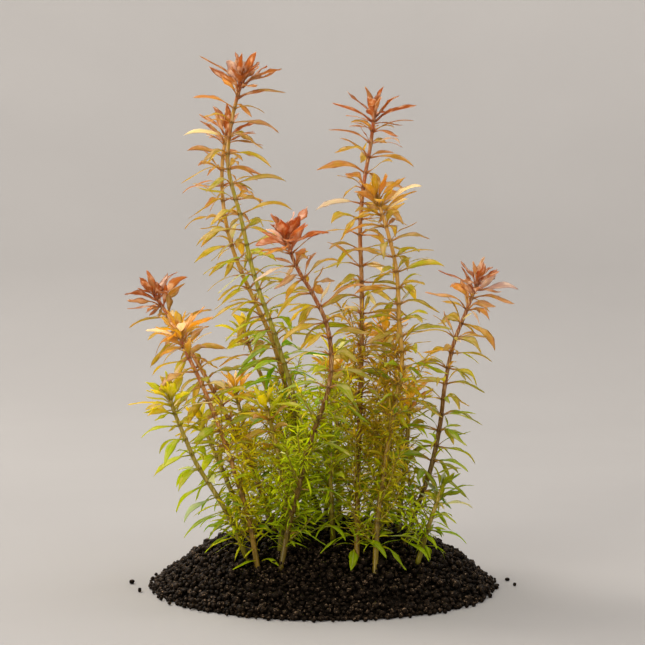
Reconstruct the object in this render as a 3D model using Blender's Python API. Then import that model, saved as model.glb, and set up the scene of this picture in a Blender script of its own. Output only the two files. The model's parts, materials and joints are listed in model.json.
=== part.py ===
# Rotala: a bunch of leafy stems growing out of a low mound of granular aquarium soil.
# The tables and the layout are in millimetres; meshes are built in metres.
import math
import random

import bmesh
import bpy
from mathutils import Vector
from mathutils.bvhtree import BVHTree
from mathutils.geometry import delaunay_2d_cdt

MM = 0.001
GAP = 0.35                  # clearance kept between neighbouring pieces

MOUND_RADIUS = 75.3
MOUND_HEIGHT = 26.4
MOUND_POWER = 2.5           # how flat the top stays before the slope falls away
MOUND_EDGE = 48             # corners around the foot
RIM_INSET = 1.3             # the foot ends in a step about one granule high
RIM_HEIGHT = 1.7
LUMP_HEIGHT = 0.6           # unevenness of the heaped soil
GRID_STEP = 8.0
SOCKET_FLOOR = 4.6          # height at which the buried ends of the stems stop

STEM_RADIUS_BASE = 1.3
STEM_RADIUS_TIP = 0.85
NODE_SWELLING = 1.14        # the ring from which a whorl grows is a little thicker
NODE_BAND = 1.0             # height of that ring
OPEN_SPACING = 6.7          # between whorls of three leaves, where a stem stands free
DENSE_SPACING = 10.0        # between pairs of leaves, lower down in the thicket
TIP_LENGTH = 3.2            # length of stem that belongs to the shoot tip
FIRST_WHORL = 6.6           # distance of the first whorl below the end of the stem
STEM_SIDES = 3
TIP_SIDES = 4
AIM_SWING = math.radians(32)  # how far an aimed leaf may turn from its side of the stem
AIM_SPREAD = 0.9            # how much further each new try of an aimed leaf may miss its place
LEAF_MID = 0.5              # share of the leaf at which it is widest
LEAF_DEPTH = 0.6            # thickness under the middle of a leaf

# Each stem: the points its centre line passes from the soil to the tip, the length of its
# leaves, the height above which it stands free, the number of leaf rings in its tip, and the
# colours of its leaves and of its tip. A crown that is seen clearly also says how far right of
# and above the end of the stem each of its leaves ends, the lower ring first.
STEMS = {
    "tall_left": dict(
        route=[(0, -14, 26), (-9, -12, 51), (-14, -10, 83), (-21.5, -6, 107.5), (-30.5, -2, 133),
               (-36, 0, 156.5), (-42, 2, 183), (-40, 2, 201), (-36, 2, 216.5)],
        leaf=22.0, free_above=84, rings=2, leaves="olive", tip="red",
        crown=[(17.5, 5), (10.5, 8), (-18, 10.5), (-4, 4.5), (5.5, 10), (-1, 10.5), (-6, 8), (8, 7.5)]),
    "tall_left_rear": dict(
        route=[(-8, 11, 26), (-13, 11, 61.5), (-23.5, 13, 105), (-32.5, 15, 125), (-37.5, 16, 136),
               (-42.5, 17, 151), (-45, 17, 166), (-45, 16, 183.5), (-43, 17, 197)],
        leaf=20.0, free_above=90, rings=1, leaves="ochre", tip="gold"),
    "middle_red": dict(
        route=[(-18, -46, 17), (-15.5, -43, 30.5), (-11.5, -46, 46.5), (-5.5, -50, 70),
               (1, -50, 89), (2, -48, 104.5), (0, -46, 115.5), (-5.5, -44, 127),
               (-12, -42, 138), (-16.5, -42, 149.5)],
        leaf=20.0, free_above=80, rings=2, leaves="ochre", tip="red",
        crown=[(18, 2), (2, 7.5), (-12, -3), (3, -0.5), (9, 13), (-6, 10), (-2, 7.5), (3, 8)]),
    "tall_right": dict(
        route=[(12.5, -45, 18), (13, -34, 41), (14, -26, 74), (15, -20, 107),
               (15, -16, 132), (14.5, -12, 155), (16.5, -8, 175), (19, -6, 189),
               (20.5, -6, 201.5)],
        leaf=20.5, free_above=84, rings=2, leaves="ochre", tip="red",
        crown=[(18, 4), (6, 3), (-18, 5), (-3, 2), (11, 8.5), (-11.5, 10.5), (-2, 7), (2.5, 10.5)]),
    "gold_right": dict(
        route=[(20, -47, 16.5), (21, -40, 32), (24, -34, 54), (28, -30, 77.5), (31.5, -27, 96),
               (30.5, -25, 115.5), (29, -22, 138.5), (25.5, -20, 153), (21.5, -20, 165.5)],
        leaf=19.6, free_above=80, rings=2, leaves="olive", tip="gold",
        crown=[(18.5, 5.5), (11, 3.5), (-10, 3), (1, -1), (12, 9.5), (0.5, 8), (-5, 6.5), (3.5, 11)]),
    "far_right": dict(
        route=[(33, -22, 21), (37, -18, 32), (44, -14, 50.5), (48.5, -10, 70), (51, -8, 89),
               (55, -6, 106), (60, -5, 118.5), (64.5, -4, 130)],
        leaf=20.0, free_above=42, rings=2, leaves="olive", tip="red",
        crown=[(17.5, -2.5), (9, 2), (-17, 6), (-2, -3), (9.5, 6.5), (-6.5, 10), (-8, 2), (1, 9.5)]),
    "left_gold": dict(
        route=[(-28, -43.5, 16), (-31.5, -40, 34), (-35.5, -37, 47.5), (-43.5, -32, 70),
               (-52.5, -27, 91), (-59, -24, 104), (-61.5, -22, 110)],
        leaf=19.5, free_above=62, rings=2, leaves="ochre", tip="gold",
        crown=[(15, 7), (5, 8), (-13.5, 1), (-3, -2), (11, 11), (-5.5, 7.5), (-9, 3), (2, 5)]),
    "left_red": dict(
        route=[(-21, -14, 25), (-29.5, -12, 47), (-35.5, -8, 61), (-44, -2, 76), (-54.5, 4, 94),
               (-64.5, 10, 109.5), (-72, 13, 120.5), (-75, 14, 125)],
        leaf=18.5, free_above=70, rings=2, leaves="ochre", tip="red",
        crown=[(15, 7.5), (9.5, 9.5), (-12.5, 0), (7.5, 2), (5.5, 9.5), (-3.5, 10.5), (-5.5, 6.5), (1, 5)]),
    "left_low": dict(
        route=[(-32.5, -36, 17.5), (-38.5, -38, 33), (-47, -38, 47.5), (-53, -38, 57),
               (-58, -38, 68.5), (-61.5, -38, 77), (-64, -38, 84)],
        leaf=19.0, free_above=36, rings=2, leaves="green", tip="green",
        crown=[(9, 3), (2, 6), (-17, -2.5), (-8, -4), (5, 8), (-4.5, 9), (-9, 4), (0.5, 7)]),
    "olive_left": dict(
        route=[(-12, 24, 24.5), (-18, 21, 57), (-26.5, 23, 83.5), (-32.5, 26, 97.5), (-36.5, 28, 109)],
        leaf=17.0, free_above=84, rings=1, leaves="olive", tip="gold"),
    "short_left": dict(
        route=[(-14, -28, 24), (-17, -26, 48.5), (-22.5, -26, 70.5), (-25, -26, 80.5)],
        leaf=16.0, free_above=66, rings=1, leaves="olive", tip="gold"),
    "gold_middle": dict(
        route=[(26, 12, 24), (28, 14, 56.5), (26.5, 18, 91.5), (25.5, 20, 109)],
        leaf=17.0, free_above=88, rings=1, leaves="olive", tip="gold"),
    "front_green": dict(
        route=[(-19, -36, 20), (-17, -36, 42), (-12.5, -37, 66)],
        leaf=16.0, free_above=50, rings=1, leaves="green", tip="green"),
    "front_middle": dict(
        route=[(3, -30, 24), (2, -36, 45), (1.5, -38, 64)],
        leaf=15.5, free_above=52, rings=1, leaves="green", tip="green"),
    "front_right": dict(
        route=[(38, -35, 16), (43, -33, 32), (48, -31, 46)],
        leaf=16.5, free_above=34, rings=1, leaves="green", tip="green"),
    "right_inner": dict(
        route=[(31, 0, 23.5), (34, 1, 50), (36.5, 2, 80)],
        leaf=16.5, free_above=66, rings=1, leaves="green", tip="gold"),
    "centre": dict(
        route=[(6, 3, 26.5), (5, 6, 60), (4.5, 8, 92)],
        leaf=16.5, free_above=78, rings=1, leaves="green", tip="gold"),
    "rear_right": dict(
        route=[(18, 38, 20.5), (27, 37, 54), (33, 35, 84)],
        leaf=17.5, free_above=58, rings=1, leaves="green", tip="gold"),
    "rear": dict(
        route=[(0, 38, 21.5), (2, 42, 60), (4, 45, 95)],
        leaf=17.5, free_above=66, rings=1, leaves="green", tip="green"),
    "rear_left": dict(
        route=[(-25, 31, 21), (-34, 34, 54), (-41, 35, 82)],
        leaf=17.5, free_above=56, rings=1, leaves="green", tip="gold"),
    "left_rear_low": dict(
        route=[(-34, 4, 22.5), (-45, 10, 48), (-55, 14, 70)],
        leaf=17.0, free_above=50, rings=1, leaves="green", tip="green"),
}

# Granules that rolled off the heap: centre on the floor and size.
STRAY_GRAINS = [(-83.8, 0.0, 2.1), (-78.6, -17.8, 1.9), (79.2, 7.0, 1.9), (81.2, -4.6, 1.7)]

# Colour (linear), roughness
FINISHES = {
    "soil": ((0.010, 0.008, 0.007), 0.85),
    "green": ((0.19, 0.29, 0.02), 0.5),
    "olive": ((0.32, 0.27, 0.04), 0.5),
    "ochre": ((0.44, 0.22, 0.05), 0.5),
    "red": ((0.50, 0.12, 0.05), 0.45),
    "gold": ((0.58, 0.32, 0.03), 0.45),
}


# Height of the heap at a place, with its lumps.
def mound_height(x, y):
    reach = min(1.0, math.hypot(x, y) / MOUND_RADIUS)
    lumps = math.sin(x * 0.41 + 1.3) * math.cos(y * 0.37) + 0.6 * math.sin(x * 0.93 - y * 0.71)
    return MOUND_HEIGHT * (1 - reach ** MOUND_POWER) + LUMP_HEIGHT * 0.6 * lumps * (1 - reach)


# A smooth line through a stem's route, as evenly spaced points with their distance from the soil.
# It starts with a straight buried piece.
class Centreline:
    def __init__(self, route, step=0.5):
        knots = [Vector(p) for p in route]
        start = (knots[1] - knots[0]).normalized()
        depth = (knots[0].z - SOCKET_FLOOR) / start.z
        self.root = knots[0] - start * depth
        spans = [(b - a).length for a, b in zip(knots, knots[1:])]
        slopes = [start]
        for i in range(1, len(knots) - 1):
            before = (knots[i] - knots[i - 1]) / spans[i - 1]
            after = (knots[i + 1] - knots[i]) / spans[i]
            slopes.append((before * spans[i] + after * spans[i - 1]) / (spans[i - 1] + spans[i]))
        slopes.append((knots[-1] - knots[-2]).normalized())
        self.points = [knots[0]]
        self.marks = [0.0]
        for i, span in enumerate(spans):
            count = max(2, round(span / step))
            for k in range(1, count + 1):
                t = k / count
                point = (knots[i] * (2 * t ** 3 - 3 * t ** 2 + 1) + slopes[i] * span * (t ** 3 - 2 * t ** 2 + t)
                         + knots[i + 1] * (3 * t ** 2 - 2 * t ** 3) + slopes[i + 1] * span * (t ** 3 - t ** 2))
                self.marks.append(self.marks[-1] + (point - self.points[-1]).length)
                self.points.append(point)
        self.length = self.marks[-1]

    def at(self, distance):
        low, high = 0, len(self.marks) - 1
        while high - low > 1:
            middle = (low + high) // 2
            if self.marks[middle] <= distance:
                low = middle
            else:
                high = middle
        span = self.marks[high] - self.marks[low]
        run = (self.points[high] - self.points[low]) / span
        return self.points[low] + run * (distance - self.marks[low]), run.normalized()

    # Point, direction and the two directions across the stem
    def frame(self, distance):
        point, along = self.at(distance)
        across = (Vector((1, 0, 0)) - along * along.x).normalized()
        return point, along, across, along.cross(across)

    def radius(self, distance):
        share = max(0.0, min(1.0, distance / self.length))
        return STEM_RADIUS_BASE + (STEM_RADIUS_TIP - STEM_RADIUS_BASE) * share


# Level direction and climb of a leaf that leaves the stem outward and rises along it
def free_heading(outward, along, rise):
    heading = outward * math.cos(rise) + along * math.sin(rise)
    flat = Vector((heading.x, heading.y, 0))
    if flat.length < 0.2:
        flat = Vector((outward.x, outward.y, 0))
    return flat.normalized(), math.asin(max(-1.0, min(1.0, heading.z)))


# Level direction, climb and length of a leaf whose point is seen at a goal beside its root. Its
# true length tells how far it comes forward or goes back, as far as its side of the stem lets it.
def aimed_heading(goal, turn, length, droop):
    chord = max(length, math.hypot(goal.x, goal.z) * 1.01)
    level = math.sqrt(chord ** 2 - goal.z ** 2)
    bearing = math.acos(max(-1.0, min(1.0, goal.x / level)))
    if math.sin(turn) < 0.1:
        bearing = -bearing
    off = (bearing - turn + math.pi) % math.tau - math.pi
    bearing = turn + max(-AIM_SWING, min(AIM_SWING, off))
    if abs(math.cos(bearing)) > 0.35:
        level = abs(goal.x / math.cos(bearing))
    arc = math.hypot(level, goal.z) * (droop / 2) / math.sin(droop / 2)
    flat = Vector((math.cos(bearing), math.sin(bearing), 0))
    return flat, math.atan2(goal.z, level) + droop / 2, arc


# One leaf: it starts at root in a level direction, climbs and bends down by droop over its length.
class Leaf:
    def __init__(self, root, flat, climb, droop, length, half_width, roll):
        self.root = root
        self.flat = flat
        self.climb = climb
        self.droop = droop
        self.length = length
        self.half_width = half_width
        self.roll = roll

    def spine(self, share):
        angle = self.climb - self.droop * share
        out = self.length * (math.sin(self.climb) - math.sin(angle)) / self.droop
        up = self.length * (math.cos(angle) - math.cos(self.climb)) / self.droop
        return self.root + self.flat * out + Vector((0, 0, up))

    def sideways(self, share):
        angle = self.climb - self.droop * share
        side = self.flat.cross(Vector((0, 0, 1)))
        face = self.flat * -math.sin(angle) + Vector((0, 0, math.cos(angle)))
        return side * math.cos(self.roll) + face * math.sin(self.roll), face

    # Both edges of its widest place, the underside there, and the tip
    def corners(self):
        side, face = self.sideways(LEAF_MID)
        middle = self.spine(LEAF_MID)
        return (middle - side * self.half_width, middle + side * self.half_width,
                middle - face * LEAF_DEPTH, self.spine(1.0))

    # Closed box-like hull around the free part of the leaf, for the clearance test
    def hull(self):
        verts = []
        for share, half, depth in ((0.2, 0.8, 0.7), (LEAF_MID, self.half_width, LEAF_DEPTH), (1.0, 0.1, 0.1)):
            side, face = self.sideways(share)
            centre = self.spine(share)
            for across, lift in ((-1, 0), (1, 0), (1, -depth), (-1, -depth)):
                reach = side * across * (half + GAP * 0.6)
                verts.append(centre + reach + face * (lift + math.copysign(GAP * 0.6, lift + 0.05)))
        faces = [(0, 1, 2, 3), (11, 10, 9, 8)]
        for ring in (0, 4):
            for k in range(4):
                after = (k + 1) % 4
                faces.append((ring + k, ring + 4 + k, ring + 4 + after, ring + after))
        return verts, faces


# Keeps what is already placed and tells whether a new leaf stays clear of it.
class Clearance:
    def __init__(self):
        self.boxes = []
        self.trees = []

    def add(self, verts, faces):
        low = Vector(min(v[i] for v in verts) for i in range(3))
        high = Vector(max(v[i] for v in verts) for i in range(3))
        self.boxes.append((low, high))
        self.trees.append(BVHTree.FromPolygons(verts, faces))

    def free(self, verts, faces):
        low = [min(v[i] for v in verts) for i in range(3)]
        high = [max(v[i] for v in verts) for i in range(3)]
        tree = None
        for (a, b), other in zip(self.boxes, self.trees):
            if any(low[i] > b[i] or high[i] < a[i] for i in range(3)):
                continue
            tree = tree or BVHTree.FromPolygons(verts, faces)
            if tree.overlap(other):
                return False
        return True


# Four-sided stretches of bare stem, a little thicker than they are, as obstacles
def add_stem_obstacle(clearance, line, stop):
    marks = [0.0]
    while marks[-1] < stop:
        marks.append(min(stop, marks[-1] + 12.0))
    for low, high in zip(marks, marks[1:]):
        verts = []
        for mark in (low, high):
            point, _, across, behind = line.frame(mark)
            reach = line.radius(mark) * NODE_SWELLING + GAP
            for k in range(4):
                turn = math.radians(90 * k + 45)
                verts.append(point + (across * math.cos(turn) + behind * math.sin(turn)) * reach * 1.2)
        faces = [(3, 2, 1, 0), (4, 5, 6, 7)]
        for k in range(4):
            after = (k + 1) % 4
            faces.append((k, after, 4 + after, 4 + k))
        clearance.add(verts, faces)


# Tries a few poses of one leaf and keeps the first that is clear of the soil and the rest.
# With a place seen for its point, right of and above the end of the stem, it is aimed there.
def place_leaf(clearance, chance, line, mark, turn, wish, seen=None):
    point, along, across, behind = line.frame(mark)
    for attempt in range(wish["tries"]):
        loose = 1.0 + 0.5 * attempt
        azimuth = turn + math.radians(chance.uniform(-7, 7) * loose)
        outward = across * math.cos(azimuth) + behind * math.sin(azimuth)
        side = across * math.cos(turn) + behind * math.sin(turn)
        root = point + side * wish["reach"]
        rise = math.radians(wish["rise"] + chance.uniform(-8, 8) * loose)
        droop = max(0.12, wish["droop"] + chance.uniform(-0.2, 0.2) * loose)
        length = wish["length"] * chance.uniform(0.88, 1.1)
        if seen:
            spread = AIM_SPREAD * attempt
            goal = line.points[-1] - root + Vector((seen[0] + chance.uniform(-spread, spread), 0,
                                                    seen[1] + chance.uniform(-spread, spread)))
            flat, climb, length = aimed_heading(goal, turn, length, droop)
        else:
            flat, climb = free_heading(outward, along, rise)
        leaf = Leaf(root, flat, climb, droop, length, wish["half_width"] * chance.uniform(0.9, 1.1),
                    math.radians(chance.uniform(-22, 22)))
        verts, faces = leaf.hull()
        if any(v.z < mound_height(v.x, v.y) + 1.0 for v in verts):
            continue
        if clearance.free(verts, faces):
            clearance.add(verts, faces)
            return leaf
    return None


# The two leaf rings of a shoot tip: mark, turn, rise, droop, length and half width of each
def tip_rings(stem, length):
    rings = [(length - TIP_LENGTH + GAP + 0.3, 0.0, 46, 0.55, 0.82, 1.9)]
    if stem["rings"] > 1:
        rings.append((length - 0.6, 45.0, 68, 0.35, 0.62, 1.8))
    return rings


# Places at which whorls stand on one stem, from the tip down, with the leaves each carries
def whorl_marks(stem, line):
    marks = []
    mark = line.length - FIRST_WHORL
    spacing = 4.4
    while mark > 6.0:
        free = line.at(mark)[0].z > stem["free_above"]
        marks.append((mark, (0, 1, 2) if free else (0, 1)))
        spacing = min(OPEN_SPACING, spacing + 0.9)
        mark -= spacing if free else DENSE_SPACING
    return marks


# Places the leaves of every shoot tip first, then those of the whorls from the top down.
def lay_out():
    clearance = Clearance()
    shoots = {}
    for name, stem in STEMS.items():
        line = Centreline(stem["route"])
        add_stem_obstacle(clearance, line, line.length)
        shoots[name] = dict(line=line, tip=[], whorls=[])
    for name, stem in STEMS.items():
        line = shoots[name]["line"]
        chance = random.Random(name + " tip")
        aims = list(stem.get("crown", ()))
        for mark, turned, rise, droop, share, half_width in tip_rings(stem, line.length):
            wish = dict(rise=rise, droop=droop, length=stem["leaf"] * share, half_width=half_width,
                        tries=5, reach=line.radius(mark) * NODE_SWELLING * 0.7)
            turns = [math.radians(turned + 90 * k) for k in range(TIP_SIDES)]
            leaves = [place_leaf(clearance, chance, line, mark, turn, wish, aims.pop(0) if aims else None)
                      for turn in turns]
            shoots[name]["tip"].append((mark, math.radians(turned), leaves))
    for name, stem in STEMS.items():
        line = shoots[name]["line"]
        chance = random.Random(name + " whorls")
        for index, (mark, sides) in enumerate(whorl_marks(stem, line)):
            grown = min(1.0, (line.length - mark) / 18)
            turned = math.radians(60 * (index % 2) + chance.uniform(-14, 14))
            wish = dict(rise=44 - 24 * grown, droop=0.6 + 0.4 * grown,
                        length=stem["leaf"] * (0.78 + 0.22 * grown), half_width=1.75, tries=6,
                        reach=line.radius(mark) * NODE_SWELLING * 0.55)
            leaves = [None] * STEM_SIDES
            for side in sides:
                turn = turned + math.radians(120 * side)
                leaves[side] = place_leaf(clearance, chance, line, mark, turn, wish)
            shoots[name]["whorls"].append((mark, turned, leaves))
    return shoots


def clear_scene():
    for item in list(bpy.data.objects):
        bpy.data.objects.remove(item, do_unlink=True)


def make_material(name):
    colour, roughness = FINISHES[name]
    material = bpy.data.materials.new(name)
    material.use_nodes = True
    shader = material.node_tree.nodes["Principled BSDF"]
    shader.inputs["Base Color"].default_value = (*colour, 1)
    shader.inputs["Roughness"].default_value = roughness
    shader.inputs["Metallic"].default_value = 0
    return material


def add_object(name, bm, material):
    bmesh.ops.recalc_face_normals(bm, faces=bm.faces)
    if bm.calc_volume(signed=True) < 0:
        bmesh.ops.reverse_faces(bm, faces=bm.faces)
    bmesh.ops.triangulate(bm, faces=bm.faces)
    bmesh.ops.scale(bm, vec=(MM, MM, MM), verts=bm.verts)
    mesh = bpy.data.meshes.new(name)
    bm.to_mesh(mesh)
    bm.free()
    item = bpy.data.objects.new(name, mesh)
    item.data.materials.append(material)
    bpy.context.scene.collection.objects.link(item)
    return item


# Corners around a stem; side k lies between corners k and k + 1 and faces the k-th leaf.
def add_ring(bm, line, mark, turn, radius, sides, point=None):
    centre, _, across, behind = line.frame(max(0.0, min(line.length, mark)))
    centre = point or centre
    ring = []
    for k in range(sides):
        angle = turn + math.tau * (k - 0.5) / sides
        ring.append(bm.verts.new(centre + (across * math.cos(angle) + behind * math.sin(angle)) * radius))
    return ring


def add_tube(bm, lower, upper):
    for k in range(len(lower)):
        after = (k + 1) % len(lower)
        bm.faces.new((lower[k], lower[after], upper[after], upper[k]))


# A band of stem whose sides carry leaves: each leaf grows out of its side as ten facets.
def add_whorl(bm, lower, upper, leaves):
    for k, leaf in enumerate(leaves):
        after = (k + 1) % len(lower)
        corners = (lower[k], lower[after], upper[after], upper[k])
        if leaf is None:
            bm.faces.new(corners)
            continue
        low_a, low_b, top_b, top_a = corners
        first, second, under, tip = leaf.corners()
        if (first - low_a.co).length > (second - low_a.co).length:
            first, second = second, first
        edge_a, edge_b, keel, point = [bm.verts.new(co) for co in (first, second, under, tip)]
        for face in ((top_a, top_b, edge_b), (top_a, edge_b, edge_a), (edge_a, edge_b, point),
                     (low_a, keel, low_b), (top_a, edge_a, low_a), (low_a, edge_a, keel),
                     (top_b, low_b, edge_b), (low_b, keel, edge_b),
                     (edge_a, point, keel), (keel, point, edge_b)):
            bm.faces.new(face)


def build_stem(name, shoot, material):
    line = shoot["line"]
    bm = bmesh.new()
    whorls = sorted(shoot["whorls"], key=lambda whorl: whorl[0])
    ring = add_ring(bm, line, 0, whorls[0][1], line.radius(0), STEM_SIDES, line.root)
    bm.faces.new(ring[::-1])
    for mark, turn, leaves in whorls:
        radius = line.radius(mark) * NODE_SWELLING
        lower = add_ring(bm, line, mark - NODE_BAND / 2, turn, radius, STEM_SIDES)
        upper = add_ring(bm, line, mark + NODE_BAND / 2, turn, radius, STEM_SIDES)
        add_tube(bm, ring, lower)
        add_whorl(bm, lower, upper, leaves)
        ring = upper
    end = line.length - TIP_LENGTH
    top = add_ring(bm, line, end, whorls[-1][1], line.radius(end), STEM_SIDES)
    add_tube(bm, ring, top)
    bm.faces.new(top)
    return add_object(name + "_stem", bm, material)


def build_tip(name, shoot, material):
    line = shoot["line"]
    bm = bmesh.new()
    start = line.length - TIP_LENGTH + GAP
    ring = None
    for mark, turn, leaves in shoot["tip"]:
        radius = line.radius(mark) * NODE_SWELLING
        low = max(start, mark - NODE_BAND / 2)
        lower = add_ring(bm, line, low, turn, radius, TIP_SIDES)
        upper = add_ring(bm, line, low + NODE_BAND, turn, radius * 0.95, TIP_SIDES)
        if ring:
            add_tube(bm, ring, lower)
        else:
            bm.faces.new(lower[::-1])
        add_whorl(bm, lower, upper, leaves)
        ring = upper
    point, along = line.at(line.length)
    bud = bm.verts.new(point + along * 3.4)
    for k in range(TIP_SIDES):
        bm.faces.new((ring[k], ring[(k + 1) % TIP_SIDES], bud))
    return add_object(name + "_tip", bm, material)


# Straight holes in the soil, one around each buried stem end and a little wider than it
def build_socket_cutter(shoots):
    bm = bmesh.new()
    for shoot in shoots.values():
        line = shoot["line"]
        first = min(mark for mark, _, _ in shoot["whorls"]) - NODE_BAND / 2
        foot, head = line.root, line.at(first)[0]
        along = (head - foot).normalized()
        foot = foot - along * GAP
        across = (Vector((1, 0, 0)) - along * along.x).normalized()
        behind = along.cross(across)
        radius = (STEM_RADIUS_BASE * NODE_SWELLING + GAP) / math.cos(math.radians(30))
        rings = []
        for centre in (foot, head):
            rings.append([bm.verts.new(centre + (across * math.cos(a) + behind * math.sin(a)) * radius)
                          for a in (math.radians(60 * k) for k in range(6))])
        bm.faces.new(rings[0][::-1])
        bm.faces.new(rings[1])
        for k in range(6):
            after = (k + 1) % 6
            bm.faces.new((rings[0][k], rings[0][after], rings[1][after], rings[1][k]))
    cutter = add_object("socket_cutter", bm, bpy.data.materials["soil"])
    cutter.hide_render = True
    cutter.display_type = "WIRE"
    return cutter


# The heap: a ragged foot, a low step at its edge, and a lumpy dome over a triangular grid
def build_mound(shoots):
    chance = random.Random("mound")
    foot = []
    rim = []
    for k in range(MOUND_EDGE):
        angle = math.tau * (k + chance.uniform(-0.2, 0.2)) / MOUND_EDGE
        reach = MOUND_RADIUS + chance.uniform(-0.7, 0.5)
        foot.append(Vector((reach * math.cos(angle), reach * math.sin(angle), 0)))
        reach -= RIM_INSET
        rim.append(Vector((reach * math.cos(angle), reach * math.sin(angle),
                           RIM_HEIGHT + chance.uniform(-0.3, 0.3))))
    inner = []
    rows = int(MOUND_RADIUS / (GRID_STEP * 0.866)) + 1
    for row in range(-rows, rows + 1):
        for column in range(-rows - 1, rows + 2):
            x = (column + 0.5 * (row % 2)) * GRID_STEP + chance.uniform(-1.2, 1.2)
            y = row * GRID_STEP * 0.866 + chance.uniform(-1.2, 1.2)
            if math.hypot(x, y) < MOUND_RADIUS - RIM_INSET - GRID_STEP * 0.55:
                inner.append(Vector((x, y, mound_height(x, y) + chance.uniform(-0.35, 0.35))))
    top = rim + inner
    flat = [point.xy for point in top]
    edges = [(k, (k + 1) % MOUND_EDGE) for k in range(MOUND_EDGE)]
    _, _, triangles, order, _, _ = delaunay_2d_cdt(flat, edges, [], 1, 1e-6)
    bm = bmesh.new()
    verts = [bm.verts.new(top[source[0]]) for source in order]
    place = {source[0]: vert for source, vert in zip(order, verts)}
    for triangle in triangles:
        bm.faces.new([verts[i] for i in triangle])
    ground = [bm.verts.new(point) for point in foot]
    for k in range(MOUND_EDGE):
        after = (k + 1) % MOUND_EDGE
        bm.faces.new((ground[k], ground[after], place[after], place[k]))
    bm.faces.new(ground[::-1])
    mound = add_object("soil_mound", bm, bpy.data.materials["soil"])
    cut = mound.modifiers.new("sockets", "BOOLEAN")
    cut.operation = "DIFFERENCE"
    cut.solver = "EXACT"
    cut.object = build_socket_cutter(shoots)
    return mound


def build_stray_grains():
    for index, (x, y, size) in enumerate(STRAY_GRAINS):
        chance = random.Random(index)
        bm = bmesh.new()
        bmesh.ops.create_icosphere(bm, subdivisions=1, radius=size / 2)
        for vert in bm.verts:
            vert.co *= chance.uniform(0.85, 1.1)
        lowest = min(vert.co.z for vert in bm.verts)
        bmesh.ops.translate(bm, vec=(x, y, -lowest), verts=bm.verts)
        grain = add_object(f"stray_grain_{index + 1}", bm, bpy.data.materials["soil"])
        for face in grain.data.polygons:
            face.use_smooth = True


def main():
    clear_scene()
    materials = {name: make_material(name) for name in FINISHES}
    shoots = lay_out()
    build_mound(shoots)
    build_stray_grains()
    for name, stem in STEMS.items():
        build_stem(name, shoots[name], materials[stem["leaves"]])
        build_tip(name, shoots[name], materials[stem["tip"]])
    print("leaves", sum(leaf is not None for shoot in shoots.values()
                        for _, _, leaves in shoot["whorls"] + shoot["tip"] for leaf in leaves))
    print("triangles", sum(len(item.data.polygons) for item in bpy.data.objects))


main()
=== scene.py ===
# Rotala clump in its heap of soil: the looks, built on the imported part.
# The shoots follow the same routes as the part's solids and the blades are placed by the
# same steps, so each blade lies on a solid leaf. Layout is in millimetres, meshes in metres.
import json
import math
import random
from functools import partial

import bmesh
import bpy
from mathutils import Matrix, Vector
from mathutils.bvhtree import BVHTree

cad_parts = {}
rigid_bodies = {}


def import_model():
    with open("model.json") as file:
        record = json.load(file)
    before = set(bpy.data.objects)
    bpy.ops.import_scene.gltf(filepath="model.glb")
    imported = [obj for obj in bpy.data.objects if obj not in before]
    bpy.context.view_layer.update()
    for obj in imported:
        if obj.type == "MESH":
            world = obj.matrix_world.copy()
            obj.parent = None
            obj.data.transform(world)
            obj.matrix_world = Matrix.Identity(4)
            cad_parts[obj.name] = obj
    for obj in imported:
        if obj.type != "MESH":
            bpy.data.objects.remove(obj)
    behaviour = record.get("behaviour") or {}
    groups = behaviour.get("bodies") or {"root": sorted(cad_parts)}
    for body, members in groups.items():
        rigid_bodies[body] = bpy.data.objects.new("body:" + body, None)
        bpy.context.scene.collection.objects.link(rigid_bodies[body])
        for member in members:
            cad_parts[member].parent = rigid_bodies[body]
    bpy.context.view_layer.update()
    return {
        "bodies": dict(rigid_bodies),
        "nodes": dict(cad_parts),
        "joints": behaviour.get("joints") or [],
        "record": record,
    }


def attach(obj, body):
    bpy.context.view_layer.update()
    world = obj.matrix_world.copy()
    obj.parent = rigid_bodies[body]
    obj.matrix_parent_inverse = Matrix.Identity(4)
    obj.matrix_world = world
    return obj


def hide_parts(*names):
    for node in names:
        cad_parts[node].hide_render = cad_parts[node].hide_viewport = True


for item in list(bpy.data.objects):   # the start file's own cube, light and camera
    bpy.data.objects.remove(item, do_unlink=True)
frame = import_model()
mm = 0.001

# What the small green shoots have in common
plainShoot = {"leaf": 16.5, "rings": 1, "leaves": "green", "stem": "green", "tip": "green"}
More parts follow.
